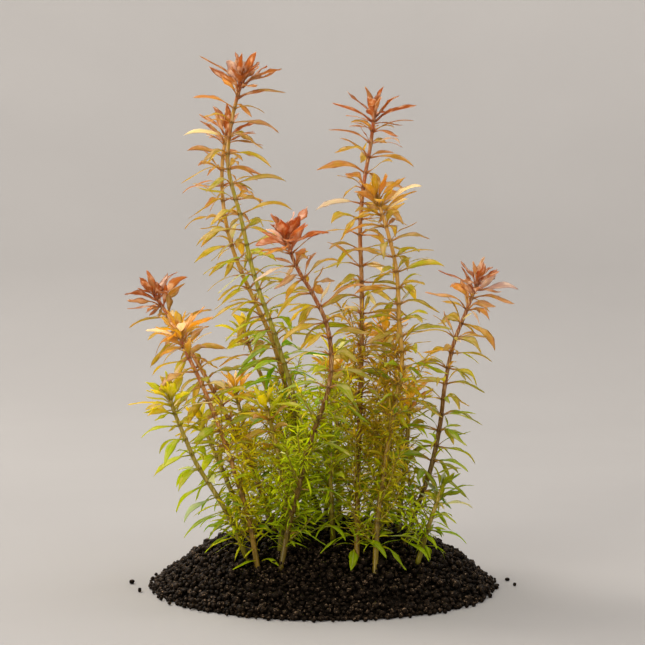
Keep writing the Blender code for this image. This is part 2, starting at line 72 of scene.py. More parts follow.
# Where each shoot's centre line passes from the soil to the tip, the length of its leaves,
# the height above which it stands free, the leaf rings of its tip and its colours. A crown
# that is seen clearly also says where its leaves end, right of and above the end of the stem.
shoots = {
    "tall_left": {
        "route": [(0, -14, 26), (-9, -12, 51), (-14, -10, 83), (-21.5, -6, 107.5),
                  (-30.5, -2, 133), (-36, 0, 156.5), (-42, 2, 183), (-40, 2, 201),
                  (-36, 2, 216.5)],
        "crown": [(17.5, 5), (10.5, 8), (-18, 10.5), (-4, 4.5),
                  (5.5, 10), (-1, 10.5), (-6, 8), (8, 7.5)],
        "leaf": 22.0, "freeAbove": 84, "rings": 2, "leaves": "olive", "stem": "olive", "tip": "red"},
    "tall_left_rear": {
        "route": [(-8, 11, 26), (-13, 11, 61.5), (-23.5, 13, 105), (-32.5, 15, 125),
                  (-37.5, 16, 136), (-42.5, 17, 151), (-45, 17, 166), (-45, 16, 183.5),
                  (-43, 17, 197)],
        "leaf": 20.0, "freeAbove": 90, "leaves": "ochre", "stem": "ochre", "tip": "gold"},
    "middle_red": {
        "route": [(-18, -46, 17), (-15.5, -43, 30.5), (-11.5, -46, 46.5), (-5.5, -50, 70),
                  (1, -50, 89), (2, -48, 104.5), (0, -46, 115.5), (-5.5, -44, 127),
                  (-12, -42, 138), (-16.5, -42, 149.5)],
        "crown": [(18, 2), (2, 7.5), (-12, -3), (3, -0.5), (9, 13), (-6, 10), (-2, 7.5), (3, 8)],
        "leaf": 20.0, "freeAbove": 80, "rings": 2, "leaves": "ochre", "stem": "dark", "tip": "red"},
    "tall_right": {
        "route": [(12.5, -45, 18), (13, -34, 41), (14, -26, 74), (15, -20, 107),
                  (15, -16, 132), (14.5, -12, 155), (16.5, -8, 175), (19, -6, 189),
                  (20.5, -6, 201.5)],
        "crown": [(18, 4), (6, 3), (-18, 5), (-3, 2), (11, 8.5), (-11.5, 10.5), (-2, 7), (2.5, 10.5)],
        "leaf": 20.5, "freeAbove": 84, "rings": 2, "leaves": "ochre", "stem": "rust", "tip": "red"},
    "gold_right": {
        "route": [(20, -47, 16.5), (21, -40, 32), (24, -34, 54), (28, -30, 77.5),
                  (31.5, -27, 96), (30.5, -25, 115.5), (29, -22, 138.5), (25.5, -20, 153),
                  (21.5, -20, 165.5)],
        "crown": [(18.5, 5.5), (11, 3.5), (-10, 3), (1, -1), (12, 9.5), (0.5, 8), (-5, 6.5), (3.5, 11)],
        "leaf": 19.6, "freeAbove": 80, "rings": 2, "leaves": "olive", "stem": "ochre", "tip": "gold"},
    "far_right": {
        "route": [(33, -22, 21), (37, -18, 32), (44, -14, 50.5), (48.5, -10, 70),
                  (51, -8, 89), (55, -6, 106), (60, -5, 118.5), (64.5, -4, 130)],
        "crown": [(17.5, -2.5), (9, 2), (-17, 6), (-2, -3), (9.5, 6.5), (-6.5, 10), (-8, 2), (1, 9.5)],
        "leaf": 20.0, "freeAbove": 42, "rings": 2, "leaves": "olive", "stem": "dark", "tip": "red"},
    "left_gold": {
        "route": [(-28, -43.5, 16), (-31.5, -40, 34), (-35.5, -37, 47.5), (-43.5, -32, 70),
                  (-52.5, -27, 91), (-59, -24, 104), (-61.5, -22, 110)],
        "crown": [(15, 7), (5, 8), (-13.5, 1), (-3, -2), (11, 11), (-5.5, 7.5), (-9, 3), (2, 5)],
        "leaf": 19.5, "freeAbove": 62, "rings": 2, "leaves": "ochre", "stem": "rust", "tip": "gold"},
    "left_red": {
        "route": [(-21, -14, 25), (-29.5, -12, 47), (-35.5, -8, 61), (-44, -2, 76),
                  (-54.5, 4, 94), (-64.5, 10, 109.5), (-72, 13, 120.5), (-75, 14, 125)],
        "crown": [(15, 7.5), (9.5, 9.5), (-12.5, 0), (7.5, 2), (5.5, 9.5), (-3.5, 10.5), (-5.5, 6.5), (1, 5)],
        "leaf": 18.5, "freeAbove": 70, "rings": 2, "leaves": "ochre", "stem": "rust", "tip": "red"},
    "left_low": {
        "route": [(-32.5, -36, 17.5), (-38.5, -38, 33), (-47, -38, 47.5), (-53, -38, 57),
                  (-58, -38, 68.5), (-61.5, -38, 77), (-64, -38, 84)],
        "crown": [(9, 3), (2, 6), (-17, -2.5), (-8, -4), (5, 8), (-4.5, 9), (-9, 4), (0.5, 7)],
        "leaf": 19.0, "freeAbove": 36, "rings": 2},
    "olive_left": {
        "route": [(-12, 24, 24.5), (-18, 21, 57), (-26.5, 23, 83.5), (-32.5, 26, 97.5),
                  (-36.5, 28, 109)],
        "leaf": 17.0, "freeAbove": 84, "leaves": "olive", "stem": "olive", "tip": "gold"},
    "short_left": {
        "route": [(-14, -28, 24), (-17, -26, 48.5), (-22.5, -26, 70.5), (-25, -26, 80.5)],
        "leaf": 16.0, "freeAbove": 66, "leaves": "olive", "tip": "gold"},
    "gold_middle": {
        "route": [(26, 12, 24), (28, 14, 56.5), (26.5, 18, 91.5), (25.5, 20, 109)],
        "leaf": 17.0, "freeAbove": 88, "leaves": "olive", "stem": "olive", "tip": "gold"},
    "front_green": {
        "route": [(-19, -36, 20), (-17, -36, 42), (-12.5, -37, 66)],
        "leaf": 16.0, "freeAbove": 50},
    "front_middle": {
        "route": [(3, -30, 24), (2, -36, 45), (1.5, -38, 64)],
        "leaf": 15.5, "freeAbove": 52},
    "front_right": {
        "route": [(38, -35, 16), (43, -33, 32), (48, -31, 46)],
        "freeAbove": 34},
    "right_inner": {
        "route": [(31, 0, 23.5), (34, 1, 50), (36.5, 2, 80)],
        "freeAbove": 66, "tip": "gold"},
    "centre": {
        "route": [(6, 3, 26.5), (5, 6, 60), (4.5, 8, 92)],
        "freeAbove": 78, "tip": "gold"},
    "rear_right": {
        "route": [(18, 38, 20.5), (27, 37, 54), (33, 35, 84)],
        "leaf": 17.5, "freeAbove": 58, "tip": "gold"},
    "rear": {
        "route": [(0, 38, 21.5), (2, 42, 60), (4, 45, 95)],
        "leaf": 17.5, "freeAbove": 66},
    "rear_left": {
        "route": [(-25, 31, 21), (-34, 34, 54), (-41, 35, 82)],
        "leaf": 17.5, "freeAbove": 56, "tip": "gold"},
    "left_rear_low": {
        "route": [(-34, 4, 22.5), (-45, 10, 48), (-55, 14, 70)],
        "leaf": 17.0, "freeAbove": 50},
}
shoots = {name: {**plainShoot, **shoot} for name, shoot in shoots.items()}

# The part's own layout values: kept as they are, so that each blade finds its solid leaf
layout = {
    "gap": 0.35, "socketFloor": 4.6, "radiusBase": 1.3, "radiusTip": 0.85, "swelling": 1.14,
    "openSpacing": 6.7, "denseSpacing": 10.0, "tipLength": 3.2, "firstWhorl": 6.6,
    "firstSpacing": 4.4, "spacingGrowth": 0.9, "lowestWhorl": 6.0, "youngStretch": 18.0,
    "leafMid": 0.5, "leafDepth": 0.6, "aimSwing": math.radians(32), "aimSpread": 0.9,
    "soilClearance": 1.0,
}
# how far a leaf's pose and size are drawn from what is wished
swing = {"turn": (-7, 7), "rise": (-8, 8), "droop": (-0.2, 0.2), "length": (0.88, 1.1),
         "half": (0.9, 1.1), "roll": (-22, 22), "whorl": (-14, 14)}
mound = {"radius": 75.3, "height": 26.4, "power": 2.5, "lumps": 0.6}


# sRGB hex to linear colour
def linear(text):
    parts = [int(text[i:i + 2], 16) / 255 for i in (1, 3, 5)]
    return tuple(c / 12.92 if c <= 0.04045 else ((c + 0.055) / 1.055) ** 2.4 for c in parts) + (1.0,)


# Adds a node with its settings and links. Its kind is the type's name without the family in
# front; inputs go by place or by name, and each is a value or another node's output.
nodeFamilies = ("ShaderNode", "GeometryNode", "FunctionNode", "Node")


def addNode(tree, kind, inputs=(), operation=None, output=0, **settings):
    family = next(family for family in nodeFamilies if hasattr(bpy.types, family + kind))
    node = tree.nodes.new(family + kind)
    if operation:
        node.operation = operation
    for key, value in settings.items():
        setattr(node, key, value)
    for key, value in inputs.items() if isinstance(inputs, dict) else enumerate(inputs):
        if isinstance(value, bpy.types.NodeSocket):
            tree.links.new(value, node.inputs[key])
        else:
            node.inputs[key].default_value = value
    if output is None or not node.outputs:
        return node.outputs
    return node.outputs[output]


# Ends a bmesh as a mesh
def endMesh(bm, name, smooth=True):
    for face in bm.faces:
        face.smooth = smooth
    mesh = bpy.data.meshes.new(name)
    bm.to_mesh(mesh)
    bm.free()
    return mesh


# New object in the scene
def newObject(name, data):
    item = bpy.data.objects.new(name, data)
    bpy.context.scene.collection.objects.link(item)
    return item


def moundHeight(x, y):
    reach = min(1.0, math.hypot(x, y) / mound["radius"])
    lumps = math.sin(x * 0.41 + 1.3) * math.cos(y * 0.37) + 0.6 * math.sin(x * 0.93 - y * 0.71)
    return mound["height"] * (1 - reach ** mound["power"]) + mound["lumps"] * 0.6 * lumps * (1 - reach)


# Smooth centre line through a route, as close points with their distance from the soil
def makeLine(route, step=0.5):
    knots = [Vector(p) for p in route]
    start = (knots[1] - knots[0]).normalized()
    root = knots[0] - start * ((knots[0].z - layout["socketFloor"]) / start.z)
    spans = [(b - a).length for a, b in zip(knots, knots[1:])]
    slopes = [start]
    for i in range(1, len(knots) - 1):
        before = (knots[i] - knots[i - 1]) / spans[i - 1]
        after = (knots[i + 1] - knots[i]) / spans[i]
        slopes.append((before * spans[i] + after * spans[i - 1]) / (spans[i - 1] + spans[i]))
    slopes.append((knots[-1] - knots[-2]).normalized())
    points, marks = [knots[0]], [0.0]
    for i, span in enumerate(spans):
        count = max(2, round(span / step))
        for k in range(1, count + 1):
            t = k / count
            point = (knots[i] * (2 * t ** 3 - 3 * t ** 2 + 1) + slopes[i] * span * (t ** 3 - 2 * t ** 2 + t)
                     + knots[i + 1] * (3 * t ** 2 - 2 * t ** 3) + slopes[i + 1] * span * (t ** 3 - t ** 2))
            marks.append(marks[-1] + (point - points[-1]).length)
            points.append(point)
    return {"points": points, "marks": marks, "length": marks[-1], "root": root}


def lineAt(line, distance):
    marks, points = line["marks"], line["points"]
    low, high = 0, len(marks) - 1
    while high - low > 1:
        middle = (low + high) // 2
        if marks[middle] <= distance:
            low = middle
        else:
            high = middle
    run = (points[high] - points[low]) / (marks[high] - marks[low])
    return points[low] + run * (distance - marks[low]), run.normalized()


# Point, direction and the two directions across the stem
def lineFrame(line, distance):
    point, along = lineAt(line, distance)
    across = (Vector((1, 0, 0)) - along * along.x).normalized()
    return point, along, across, along.cross(across)


# Direction out of the stem at a turn about it
def spoke(across, behind, turn):
    return across * math.cos(turn) + behind * math.sin(turn)


def stemRadius(line, distance):
    share = max(0.0, min(1.0, distance / line["length"]))
    return layout["radiusBase"] + (layout["radiusTip"] - layout["radiusBase"]) * share


# A leaf leaves the stem at its root, climbs, and bends down by droop over its length.
def makeLeaf(root, outward, along, rise, droop, length, halfWidth, roll):
    heading = outward * math.cos(rise) + along * math.sin(rise)
    flat = Vector((heading.x, heading.y, 0))
    if flat.length < 0.2:
        flat = Vector((outward.x, outward.y, 0))
    return {"root": root, "flat": flat.normalized(), "climb": math.asin(max(-1.0, min(1.0, heading.z))),
            "droop": droop, "length": length, "halfWidth": halfWidth, "roll": roll}


# A leaf whose point is seen at a goal beside its root: its true length tells how far it comes
# forward or goes back, as far as its side of the stem lets it.
def aimLeaf(root, goal, turn, length, droop, halfWidth, roll):
    chord = max(length, math.hypot(goal.x, goal.z) * 1.01)
    level = math.sqrt(chord ** 2 - goal.z ** 2)
    bearing = math.acos(max(-1.0, min(1.0, goal.x / level)))
    if math.sin(turn) < 0.1:
        bearing = -bearing
    off = (bearing - turn + math.pi) % math.tau - math.pi
    bearing = turn + max(-layout["aimSwing"], min(layout["aimSwing"], off))
    if abs(math.cos(bearing)) > 0.35:
        level = abs(goal.x / math.cos(bearing))
    arc = math.hypot(level, goal.z) * (droop / 2) / math.sin(droop / 2)
    return {"root": root, "flat": Vector((math.cos(bearing), math.sin(bearing), 0)),
            "climb": math.atan2(goal.z, level) + droop / 2, "droop": droop, "length": arc,
            "halfWidth": halfWidth, "roll": roll}


def leafSpine(leaf, share):
    climb, droop = leaf["climb"], leaf["droop"]
    angle = climb - droop * share
    out = leaf["length"] * (math.sin(climb) - math.sin(angle)) / droop
    up = leaf["length"] * (math.cos(angle) - math.cos(climb)) / droop
    return leaf["root"] + leaf["flat"] * out + Vector((0, 0, up))


def leafHull(leaf):
    verts = []
    gap = layout["gap"]
    for share, half, depth in ((0.2, 0.8, 0.7), (layout["leafMid"], leaf["halfWidth"], layout["leafDepth"]),
                               (1.0, 0.1, 0.1)):
        angle = leaf["climb"] - leaf["droop"] * share
        face = leaf["flat"] * -math.sin(angle) + Vector((0, 0, math.cos(angle)))
        side = leaf["flat"].cross(Vector((0, 0, 1))) * math.cos(leaf["roll"]) + face * math.sin(leaf["roll"])
        centre = leafSpine(leaf, share)
        for across, lift in ((-1, 0), (1, 0), (1, -depth), (-1, -depth)):
            reach = side * across * (half + gap * 0.6)
            verts.append(centre + reach + face * (lift + math.copysign(gap * 0.6, lift + 0.05)))
    faces = [(0, 1, 2, 3), (11, 10, 9, 8)]
    for ring in (0, 4):
        for k in range(4):
            after = (k + 1) % 4
            faces.append((ring + k, ring + 4 + k, ring + 4 + after, ring + after))
    return verts, faces


# What is placed so far, as boxes and search trees
placed = []


def corners(verts):
    return ([min(v[i] for v in verts) for i in range(3)], [max(v[i] for v in verts) for i in range(3)])


def keepPlaced(verts, faces):
    placed.append((*corners(verts), BVHTree.FromPolygons(verts, faces)))


def isFree(verts, faces):
    low, high = corners(verts)
    tree = None
    for otherLow, otherHigh, other in placed:
        if any(low[i] > otherHigh[i] or high[i] < otherLow[i] for i in range(3)):
            continue
        tree = tree or BVHTree.FromPolygons(verts, faces)
        if tree.overlap(other):
            return False
    return True


def keepStem(line):
    marks = [0.0]
    while marks[-1] < line["length"]:
        marks.append(min(line["length"], marks[-1] + 12.0))
    for low, high in zip(marks, marks[1:]):
        verts = []
        for mark in (low, high):
            point, _, across, behind = lineFrame(line, mark)
            reach = stemRadius(line, mark) * layout["swelling"] + layout["gap"]
            for k in range(4):
                turn = math.radians(90 * k + 45)
                verts.append(point + spoke(across, behind, turn) * reach * 1.2)
        faces = [(3, 2, 1, 0), (4, 5, 6, 7)]
        for k in range(4):
            after = (k + 1) % 4
            faces.append((k, after, 4 + after, 4 + k))
        keepPlaced(verts, faces)


# Tries a few poses of one leaf and keeps the first that is clear of the soil and the rest
def placeLeaf(chance, line, mark, turn, wish, seen=None):
    point, along, across, behind = lineFrame(line, mark)
    root = point + spoke(across, behind, turn) * wish["reach"]
    for attempt in range(wish["tries"]):
        loose = 1.0 + 0.5 * attempt
        outward = spoke(across, behind, turn + math.radians(chance.uniform(*swing["turn"]) * loose))
        rise = math.radians(wish["rise"] + chance.uniform(*swing["rise"]) * loose)
        droop = max(0.12, wish["droop"] + chance.uniform(*swing["droop"]) * loose)
        length = wish["length"] * chance.uniform(*swing["length"])
        if seen:
            spread = layout["aimSpread"] * attempt
            goal = line["points"][-1] - root + Vector((seen[0] + chance.uniform(-spread, spread), 0,
                                                       seen[1] + chance.uniform(-spread, spread)))
        halfWidth = wish["halfWidth"] * chance.uniform(*swing["half"])
        roll = math.radians(chance.uniform(*swing["roll"]))
        if seen:
            leaf = aimLeaf(root, goal, turn, length, droop, halfWidth, roll)
        else:
            leaf = makeLeaf(root, outward, along, rise, droop, length, halfWidth, roll)
        verts, faces = leafHull(leaf)
        clear = all(v.z >= moundHeight(v.x, v.y) + layout["soilClearance"] for v in verts)
        if clear and isFree(verts, faces):
            keepPlaced(verts, faces)
            leaf.update(mark=mark, seen=seen)
            return leaf


# The part's leaves: the shoot tips first, then the whorls from the top down
def layOut():
    plants = {}
    for name, shoot in shoots.items():
        line = makeLine(shoot["route"])
        keepStem(line)
        plants[name] = {"line": line, "tip": [], "whorls": [], "nodes": []}
    for name, shoot in shoots.items():
        line = plants[name]["line"]
        chance = random.Random(name + " tip")
        aims = list(shoot.get("crown", ()))
        rings = [(line["length"] - layout["tipLength"] + layout["gap"] + 0.3, 0.0, 46, 0.55, 0.82, 1.9)]
        if shoot["rings"] > 1:
            rings.append((line["length"] - 0.6, 45.0, 68, 0.35, 0.62, 1.8))
        for mark, turned, rise, droop, share, halfWidth in rings:
            wish = {"rise": rise, "droop": droop, "length": shoot["leaf"] * share, "halfWidth": halfWidth,
                    "tries": 5, "reach": stemRadius(line, mark) * layout["swelling"] * 0.7}
            for k in range(4):
                seen = aims.pop(0) if aims else None
                leaf = placeLeaf(chance, line, mark, math.radians(turned + 90 * k), wish, seen)
                if leaf:
                    plants[name]["tip"].append(leaf)
    for name, shoot in shoots.items():
        line = plants[name]["line"]
        chance = random.Random(name + " whorls")
        mark, spacing, index = line["length"] - layout["firstWhorl"], layout["firstSpacing"], 0
        while mark > layout["lowestWhorl"]:
            free = lineAt(line, mark)[0].z > shoot["freeAbove"]
            grown = min(1.0, (line["length"] - mark) / layout["youngStretch"])
            turned = math.radians(60 * (index % 2) + chance.uniform(*swing["whorl"]))
            wish = {"rise": 44 - 24 * grown, "droop": 0.6 + 0.4 * grown,
                    "length": shoot["leaf"] * (0.78 + 0.22 * grown), "halfWidth": 1.75, "tries": 6,
                    "reach": stemRadius(line, mark) * layout["swelling"] * 0.55}
            for side in (0, 1, 2) if free else (0, 1):
                leaf = placeLeaf(chance, line, mark, turned + math.radians(120 * side), wish)
                if leaf:
                    plants[name]["whorls"].append(leaf)
            plants[name]["nodes"].append(mark)
            spacing = min(layout["openSpacing"], spacing + layout["spacingGrowth"])
            mark -= spacing if free else layout["denseSpacing"]
            index += 1
    return plants


plants = layOut()
print("blades on solid leaves:", sum(len(p["tip"]) + len(p["whorls"]) for p in plants.values()))


# Runs a tree on a mesh and keeps the outcome as a plain mesh object
def bake(name, mesh, tree, values):
    carrier = newObject(name + "Carrier", mesh)
    modifier = carrier.modifiers.new("grow", "NODES")
    modifier.node_group = tree
    for item in tree.interface.items_tree:
        if item.in_out == "INPUT" and item.name in values:
            modifier[item.identifier] = values[item.name]
    evaluated = carrier.evaluated_get(bpy.context.evaluated_depsgraph_get())
    made = bpy.data.meshes.new_from_object(evaluated)
    made.name = name
    carrier.modifiers.clear()
    bpy.data.objects.remove(carrier, do_unlink=True)
    return newObject(name, made)


def newTree(name, sockets):
    tree = bpy.data.node_groups.new(name, "GeometryNodeTree")
    tree.interface.new_socket("Geometry", in_out="INPUT", socket_type="NodeSocketGeometry")
    for title, (kind, value) in sockets.items():
        socket = tree.interface.new_socket(title, in_out="INPUT", socket_type=kind)
        if value is not None:
            socket.default_value = value
    tree.interface.new_socket("Geometry", in_out="OUTPUT", socket_type="NodeSocketGeometry")
    return tree, partial(addNode, tree), tree.nodes.new("NodeGroupInput").outputs


def newCollection(name):
    group = bpy.data.collections.new(name)
    bpy.context.scene.collection.children.link(group)
    return group


def pieceName(name, ending):
    words = name.split("_")
    return words[0] + "".join(word.title() for word in words[1:]) + ending


def setPiece(piece, node=None):
    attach(piece, "root")
    if node:
        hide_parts(*node)


# New material with an empty tree, and the way to add its nodes
def newMaterial(name):
    material = bpy.data.materials.new(name)
    material.use_nodes = True
    material.node_tree.nodes.clear()
    return material, partial(addNode, material.node_tree)


# Spreads colours evenly over a ramp
def setStops(ramp, colours):
    last = len(colours) - 1
    for index, colour in enumerate(colours):
        ends = {0: 0, last: -1}
        stop = ramp.elements[ends[index]] if index in ends else ramp.elements.new(index / last)
        stop.position = index / last
        stop.color = linear(colour)


# Leaf material: thin living leaf, satin cuticle, light shining through. Tone runs from the
# oldest colour to the youngest; the blade attribute holds the place along and across.
leafFinishes = {
    "fresh": {"stops": ["#8a9e06", "#aab808", "#c2ca10", "#ccc030"], "stalk": "#a8a418", "glow": 1.9,
              "sheen": 0.17},
    "sunny": {"stops": ["#9cac06", "#c0c40a", "#d2ca18", "#d4c038"], "stalk": "#b8a020", "glow": 1.85,
              "sheen": 0.17},
    "bronze": {"stops": ["#8aa608", "#acb80e", "#c2b824", "#ceb248"], "stalk": "#b09034", "glow": 1.95,
               "sheen": 0.17},
    "green": {"stops": ["#8eaa0c", "#b2c010", "#c2c420", "#c8b444"], "stalk": "#a8a418", "glow": 1.6,
              "patch": 0.2},
    "olive": {"stops": ["#92b41c", "#b6b830", "#c4ae52", "#c69c6c"], "stalk": "#b8904c", "glow": 1.65,
              "patch": 0.3},
    "ochre": {"stops": ["#a0b420", "#bcb638", "#c4aa54", "#c0946c"], "stalk": "#b88850", "glow": 1.65,
              "patch": 0.3},
    "mossTip": {"stops": ["#7c980e", "#94a414", "#aeb022", "#bcae3c"], "stalk": "#a0a020", "glow": 1.35},
    "greenTip": {"stops": ["#b4bc10", "#cac61a", "#d8cc32", "#dac652"], "stalk": "#b8ac24", "sheen": 0.4,
                 "patch": 0.25},
    "goldTip": {"stops": ["#ccba36", "#dcbe44", "#deba4c", "#d8aa54"], "stalk": "#b8984c", "sheen": 0.4,
                "glow": 1.42, "patch": 0.3},
    "redTip": {"stops": ["#d6b07c", "#cc9a60", "#c4864a", "#b06c38"], "stalk": "#b87848", "sheen": 0.5,
               "glow": 1.3, "patch": 0.7},
    "coralTip": {"stops": ["#d8b080", "#d09c68", "#c88852", "#b87040"], "stalk": "#b87848", "sheen": 0.5,
                 "glow": 1.4, "patch": 0.5},
}
# pale is the colour of the leaves' painted highlights
leafLook = {"roughness": 0.38, "throughLight": 0.6, "depth": 1.06, "mottle": 2.6, "veins": 9.0,
            "relief": 0.25, "rib": "#d9c98c", "pale": "#f0dcc4"}


def makeLeafMaterial(name):
    finish = leafFinishes[name]
    material, add = newMaterial(name + "Leaf")
    blade = add("Attribute", attribute_name="blade", output="Vector")
    tone = add("Attribute", attribute_name="tone", output="Fac")
    shade = add("Attribute", attribute_name="shade", output="Fac")
    along, across, _ = add("SeparateXYZ", (blade,), output=None)
    aside = add("Math", (across,), "ABSOLUTE")
    place = add("TexCoord", output="Object")
    mottle = add("TexNoise", {"Vector": place, "Scale": 1 / (leafLook["mottle"] * mm), "Detail": 3.0,
                              "Roughness": 0.6})
    # the tone wanders with the mottling and grows towards the point and the edges
    wander = add("Math", (mottle, 0.5, -0.25), "MULTIPLY_ADD")
    reach = add("Math", (along, 0.24, -0.14), "MULTIPLY_ADD")
    mixed = add("Math", (tone, wander), "ADD")
    mixed = add("Math", (mixed, reach), "ADD")
    mixed = add("Math", (aside, 0.08, mixed), "MULTIPLY_ADD")
    ramp = add("ValToRGB", (mixed,))
    setStops(ramp.node.color_ramp, finish["stops"])
    # painted light: the few brightest leaves are also paler, drawn as leaves that light shines through
    # whitish
    paintedLitPale = add("MapRange", (shade, 1.16, 1.3, 1.0, 0.45))
    bright = add("HueSaturation", {"Saturation": paintedLitPale, "Value": shade, "Color": ramp})
    # the midrib is paler, the side veins a little darker
    rib = add("MapRange", (aside, 0.03, 0.16, 0.3, 0.0), interpolation_type="SMOOTHSTEP")
    paler = add("Mix", {0: rib, 6: bright, 7: linear(leafLook["rib"])}, output=2, data_type="RGBA")
    slope = add("Math", (aside, -0.22, along), "MULTIPLY_ADD")
    beat = add("Math", (slope, math.tau * leafLook["veins"]), "MULTIPLY")
    vein = add("Math", (beat,), "SINE")
    vein = add("MapRange", (vein, 0.6, 1.0, 0.0, 0.22))
    veined = add("Mix", {0: vein, 6: paler, 7: linear(finish["stops"][0])}, output=2, data_type="RGBA")
    stalk = add("MapRange", (along, 0.14, 0.3, 0.85, 0.0), interpolation_type="SMOOTHSTEP")
    colour = add("Mix", {0: stalk, 6: veined, 7: linear(finish["stalk"])}, output=2, data_type="RGBA")
    # painted highlights: pale thin patches drawn along the blade, other ones on each leaf, in place of glossy
    # highlights
    long = add("Math", (along, 4.0), "MULTIPLY")
    broad = add("Math", (across, 0.9), "MULTIPLY")
    own = add("Math", (shade, 60.0), "MULTIPLY")
    drawn = add("CombineXYZ", (long, broad, own))
    patch = add("TexNoise", {"Vector": drawn, "Scale": 1.0, "Detail": 1.0})
    patch = add("MapRange", (patch, 0.5, 0.66, 0.0, finish.get("patch", 0.0)))
    colour = add("Mix", {0: patch, 6: colour, 7: linear(leafLook["pale"])}, output=2, data_type="RGBA")
    height = add("Math", (rib, vein), "SUBTRACT")
    bump = add("Bump", {"Height": height, "Strength": leafLook["relief"], "Distance": 0.2 * mm})
    skin = add("BsdfPrincipled", {"Base Color": colour, "Normal": bump, "Roughness": leafLook["roughness"],
                                  "Specular IOR Level": finish.get("sheen", 0.26)})
    glow = add("HueSaturation", {"Saturation": leafLook["depth"], "Value": finish.get("glow", 1.5),
                                 "Color": colour})
    through = add("BsdfTranslucent", {"Color": glow})
    both = add("MixShader", (leafLook["throughLight"], skin, through))
    add("OutputMaterial", (both,))
    return material


# Stem material: soft water plant stem with a waxy skin, dark rings at the nodes and fine
# lengthwise streaks. Tone runs from the green foot to the red top.
stemFinishes = {
    "green": ["#665e10", "#7c7014", "#948220", "#9c8a20"],
    "olive": ["#605a0c", "#7e7810", "#9a941e", "#a4582c"],
    "ochre": ["#6a5810", "#8e741a", "#bc9034", "#c08a3c"],
    "rust": ["#6a5410", "#8a641a", "#a46a30", "#a4522c"],
    "dark": ["#54460c", "#664c14", "#805024", "#9a4c2c"],
}
stemLook = {"roughness": 0.3, "streak": 0.45, "streakLength": 22.0, "blotch": 5.0, "ring": "#32190f",
            "pale": "#d8b87c"}


def makeStemMaterial(name):
    material, add = newMaterial(name + "Stem")
    tone = add("Attribute", attribute_name="tone", output="Fac")
    ring = add("Attribute", attribute_name="ring", output="Fac")
    place = add("TexCoord", output="Object")
    fine, coarse = 1 / (stemLook["streak"] * mm), 1 / (stemLook["streakLength"] * mm)
    drawn = add("Mapping", {"Vector": place, "Scale": (fine, fine, coarse)})
    streak = add("TexNoise", {"Vector": drawn, "Scale": 1.0, "Detail": 3.0})
    blotch = add("TexNoise", {"Vector": place, "Scale": 1 / (stemLook["blotch"] * mm), "Detail": 2.0})
    wander = add("Math", (streak, 0.3, -0.15), "MULTIPLY_ADD")
    wider = add("Math", (blotch, 0.6, -0.3), "MULTIPLY_ADD")
    mixed = add("Math", (tone, wander), "ADD")
    mixed = add("Math", (mixed, wider), "ADD")
    ramp = add("ValToRGB", (mixed,))
    setStops(ramp.node.color_ramp, stemFinishes[name])
    # pale lengthwise streaks, more of them higher up the stem
    paleStreaks = add("MapRange", (streak, 0.5, 0.64, 0.0, 0.85))
    paleStreaks = add("Math", (paleStreaks, tone), "MULTIPLY")
    colour = add("Mix", {0: paleStreaks, 6: ramp, 7: linear(stemLook["pale"])}, output=2, data_type="RGBA")
    colour = add("Mix", {0: ring, 6: colour, 7: linear(stemLook["ring"])}, output=2, data_type="RGBA")
    bump = add("Bump", {"Height": streak, "Strength": 0.25, "Distance": 0.1 * mm})
    skin = add("BsdfPrincipled", {"Base Color": colour, "Normal": bump, "Roughness": stemLook["roughness"],
                                  "Specular IOR Level": 0.12, "Coat Weight": 0.14, "Coat Roughness": 0.16})
    add("OutputMaterial", (skin,))
    return material


# Soil material: fired clay and peat granules, nearly black and matt with a slight sheen. Painted
# light makes their faces that point up lighter, and small lighter cells are partly brown crumbs and
# partly painted glints; a few granules are brown.
soilLook = {"crumb": 0.8, "speck": 0.42, "sheenTint": "#ffd8b4",
            "stops": ["#020201", "#070504", "#211911", "#4e3e2e", "#92785e"]}


def makeSoilMaterial():
    material, add = newMaterial("peatGranules")
    tone = add("Attribute", attribute_name="grainTone", output="Fac")
    place = add("TexCoord", output="Object")
    crumb = add("TexNoise", {"Vector": place, "Scale": 1 / (soilLook["crumb"] * mm), "Detail": 4.0,
                             "Roughness": 0.65})
    # crumbs and painted glints: small cells, each with its own chance of being lighter, partly brown crumbs
    # and partly painted glints of light
    cells = add("TexVoronoi", {"Vector": place, "Scale": 1 / (soilLook["speck"] * mm)}, output="Color")
    single = add("SeparateColor", (cells,))
    crumbsAndGlints = add("MapRange", (single, 0.78, 1.0, 0.0, 0.62))
    mixed = add("Math", (tone, 0.22, crumbsAndGlints), "MULTIPLY_ADD")
    wander = add("Math", (crumb, 0.5, -0.25), "MULTIPLY_ADD")
    mixed = add("Math", (mixed, wander), "ADD")
    # painted light: the faces of the grains that point up are drawn lighter, as lit from above
    facingUp = add("Attribute", attribute_name="topSide", output="Fac")
    paintedTopLight = add("MapRange", (facingUp, 0.15, 1.0, 0.0, 0.29))
    mixed = add("Math", (mixed, paintedTopLight), "ADD")
    ramp = add("ValToRGB", (mixed,))
    setStops(ramp.node.color_ramp, soilLook["stops"])
    bump = add("Bump", {"Height": crumb, "Strength": 0.9, "Distance": 0.45 * mm})
    rough = add("MapRange", (crumb, 0.35, 0.65, 0.3, 0.75))
    skin = add("BsdfPrincipled", {"Base Color": ramp, "Normal": bump, "Roughness": rough,
                                  "Specular IOR Level": 0.11, "Specular Tint": linear(soilLook["sheenTint"])})
    add("OutputMaterial", (skin,))
    return material


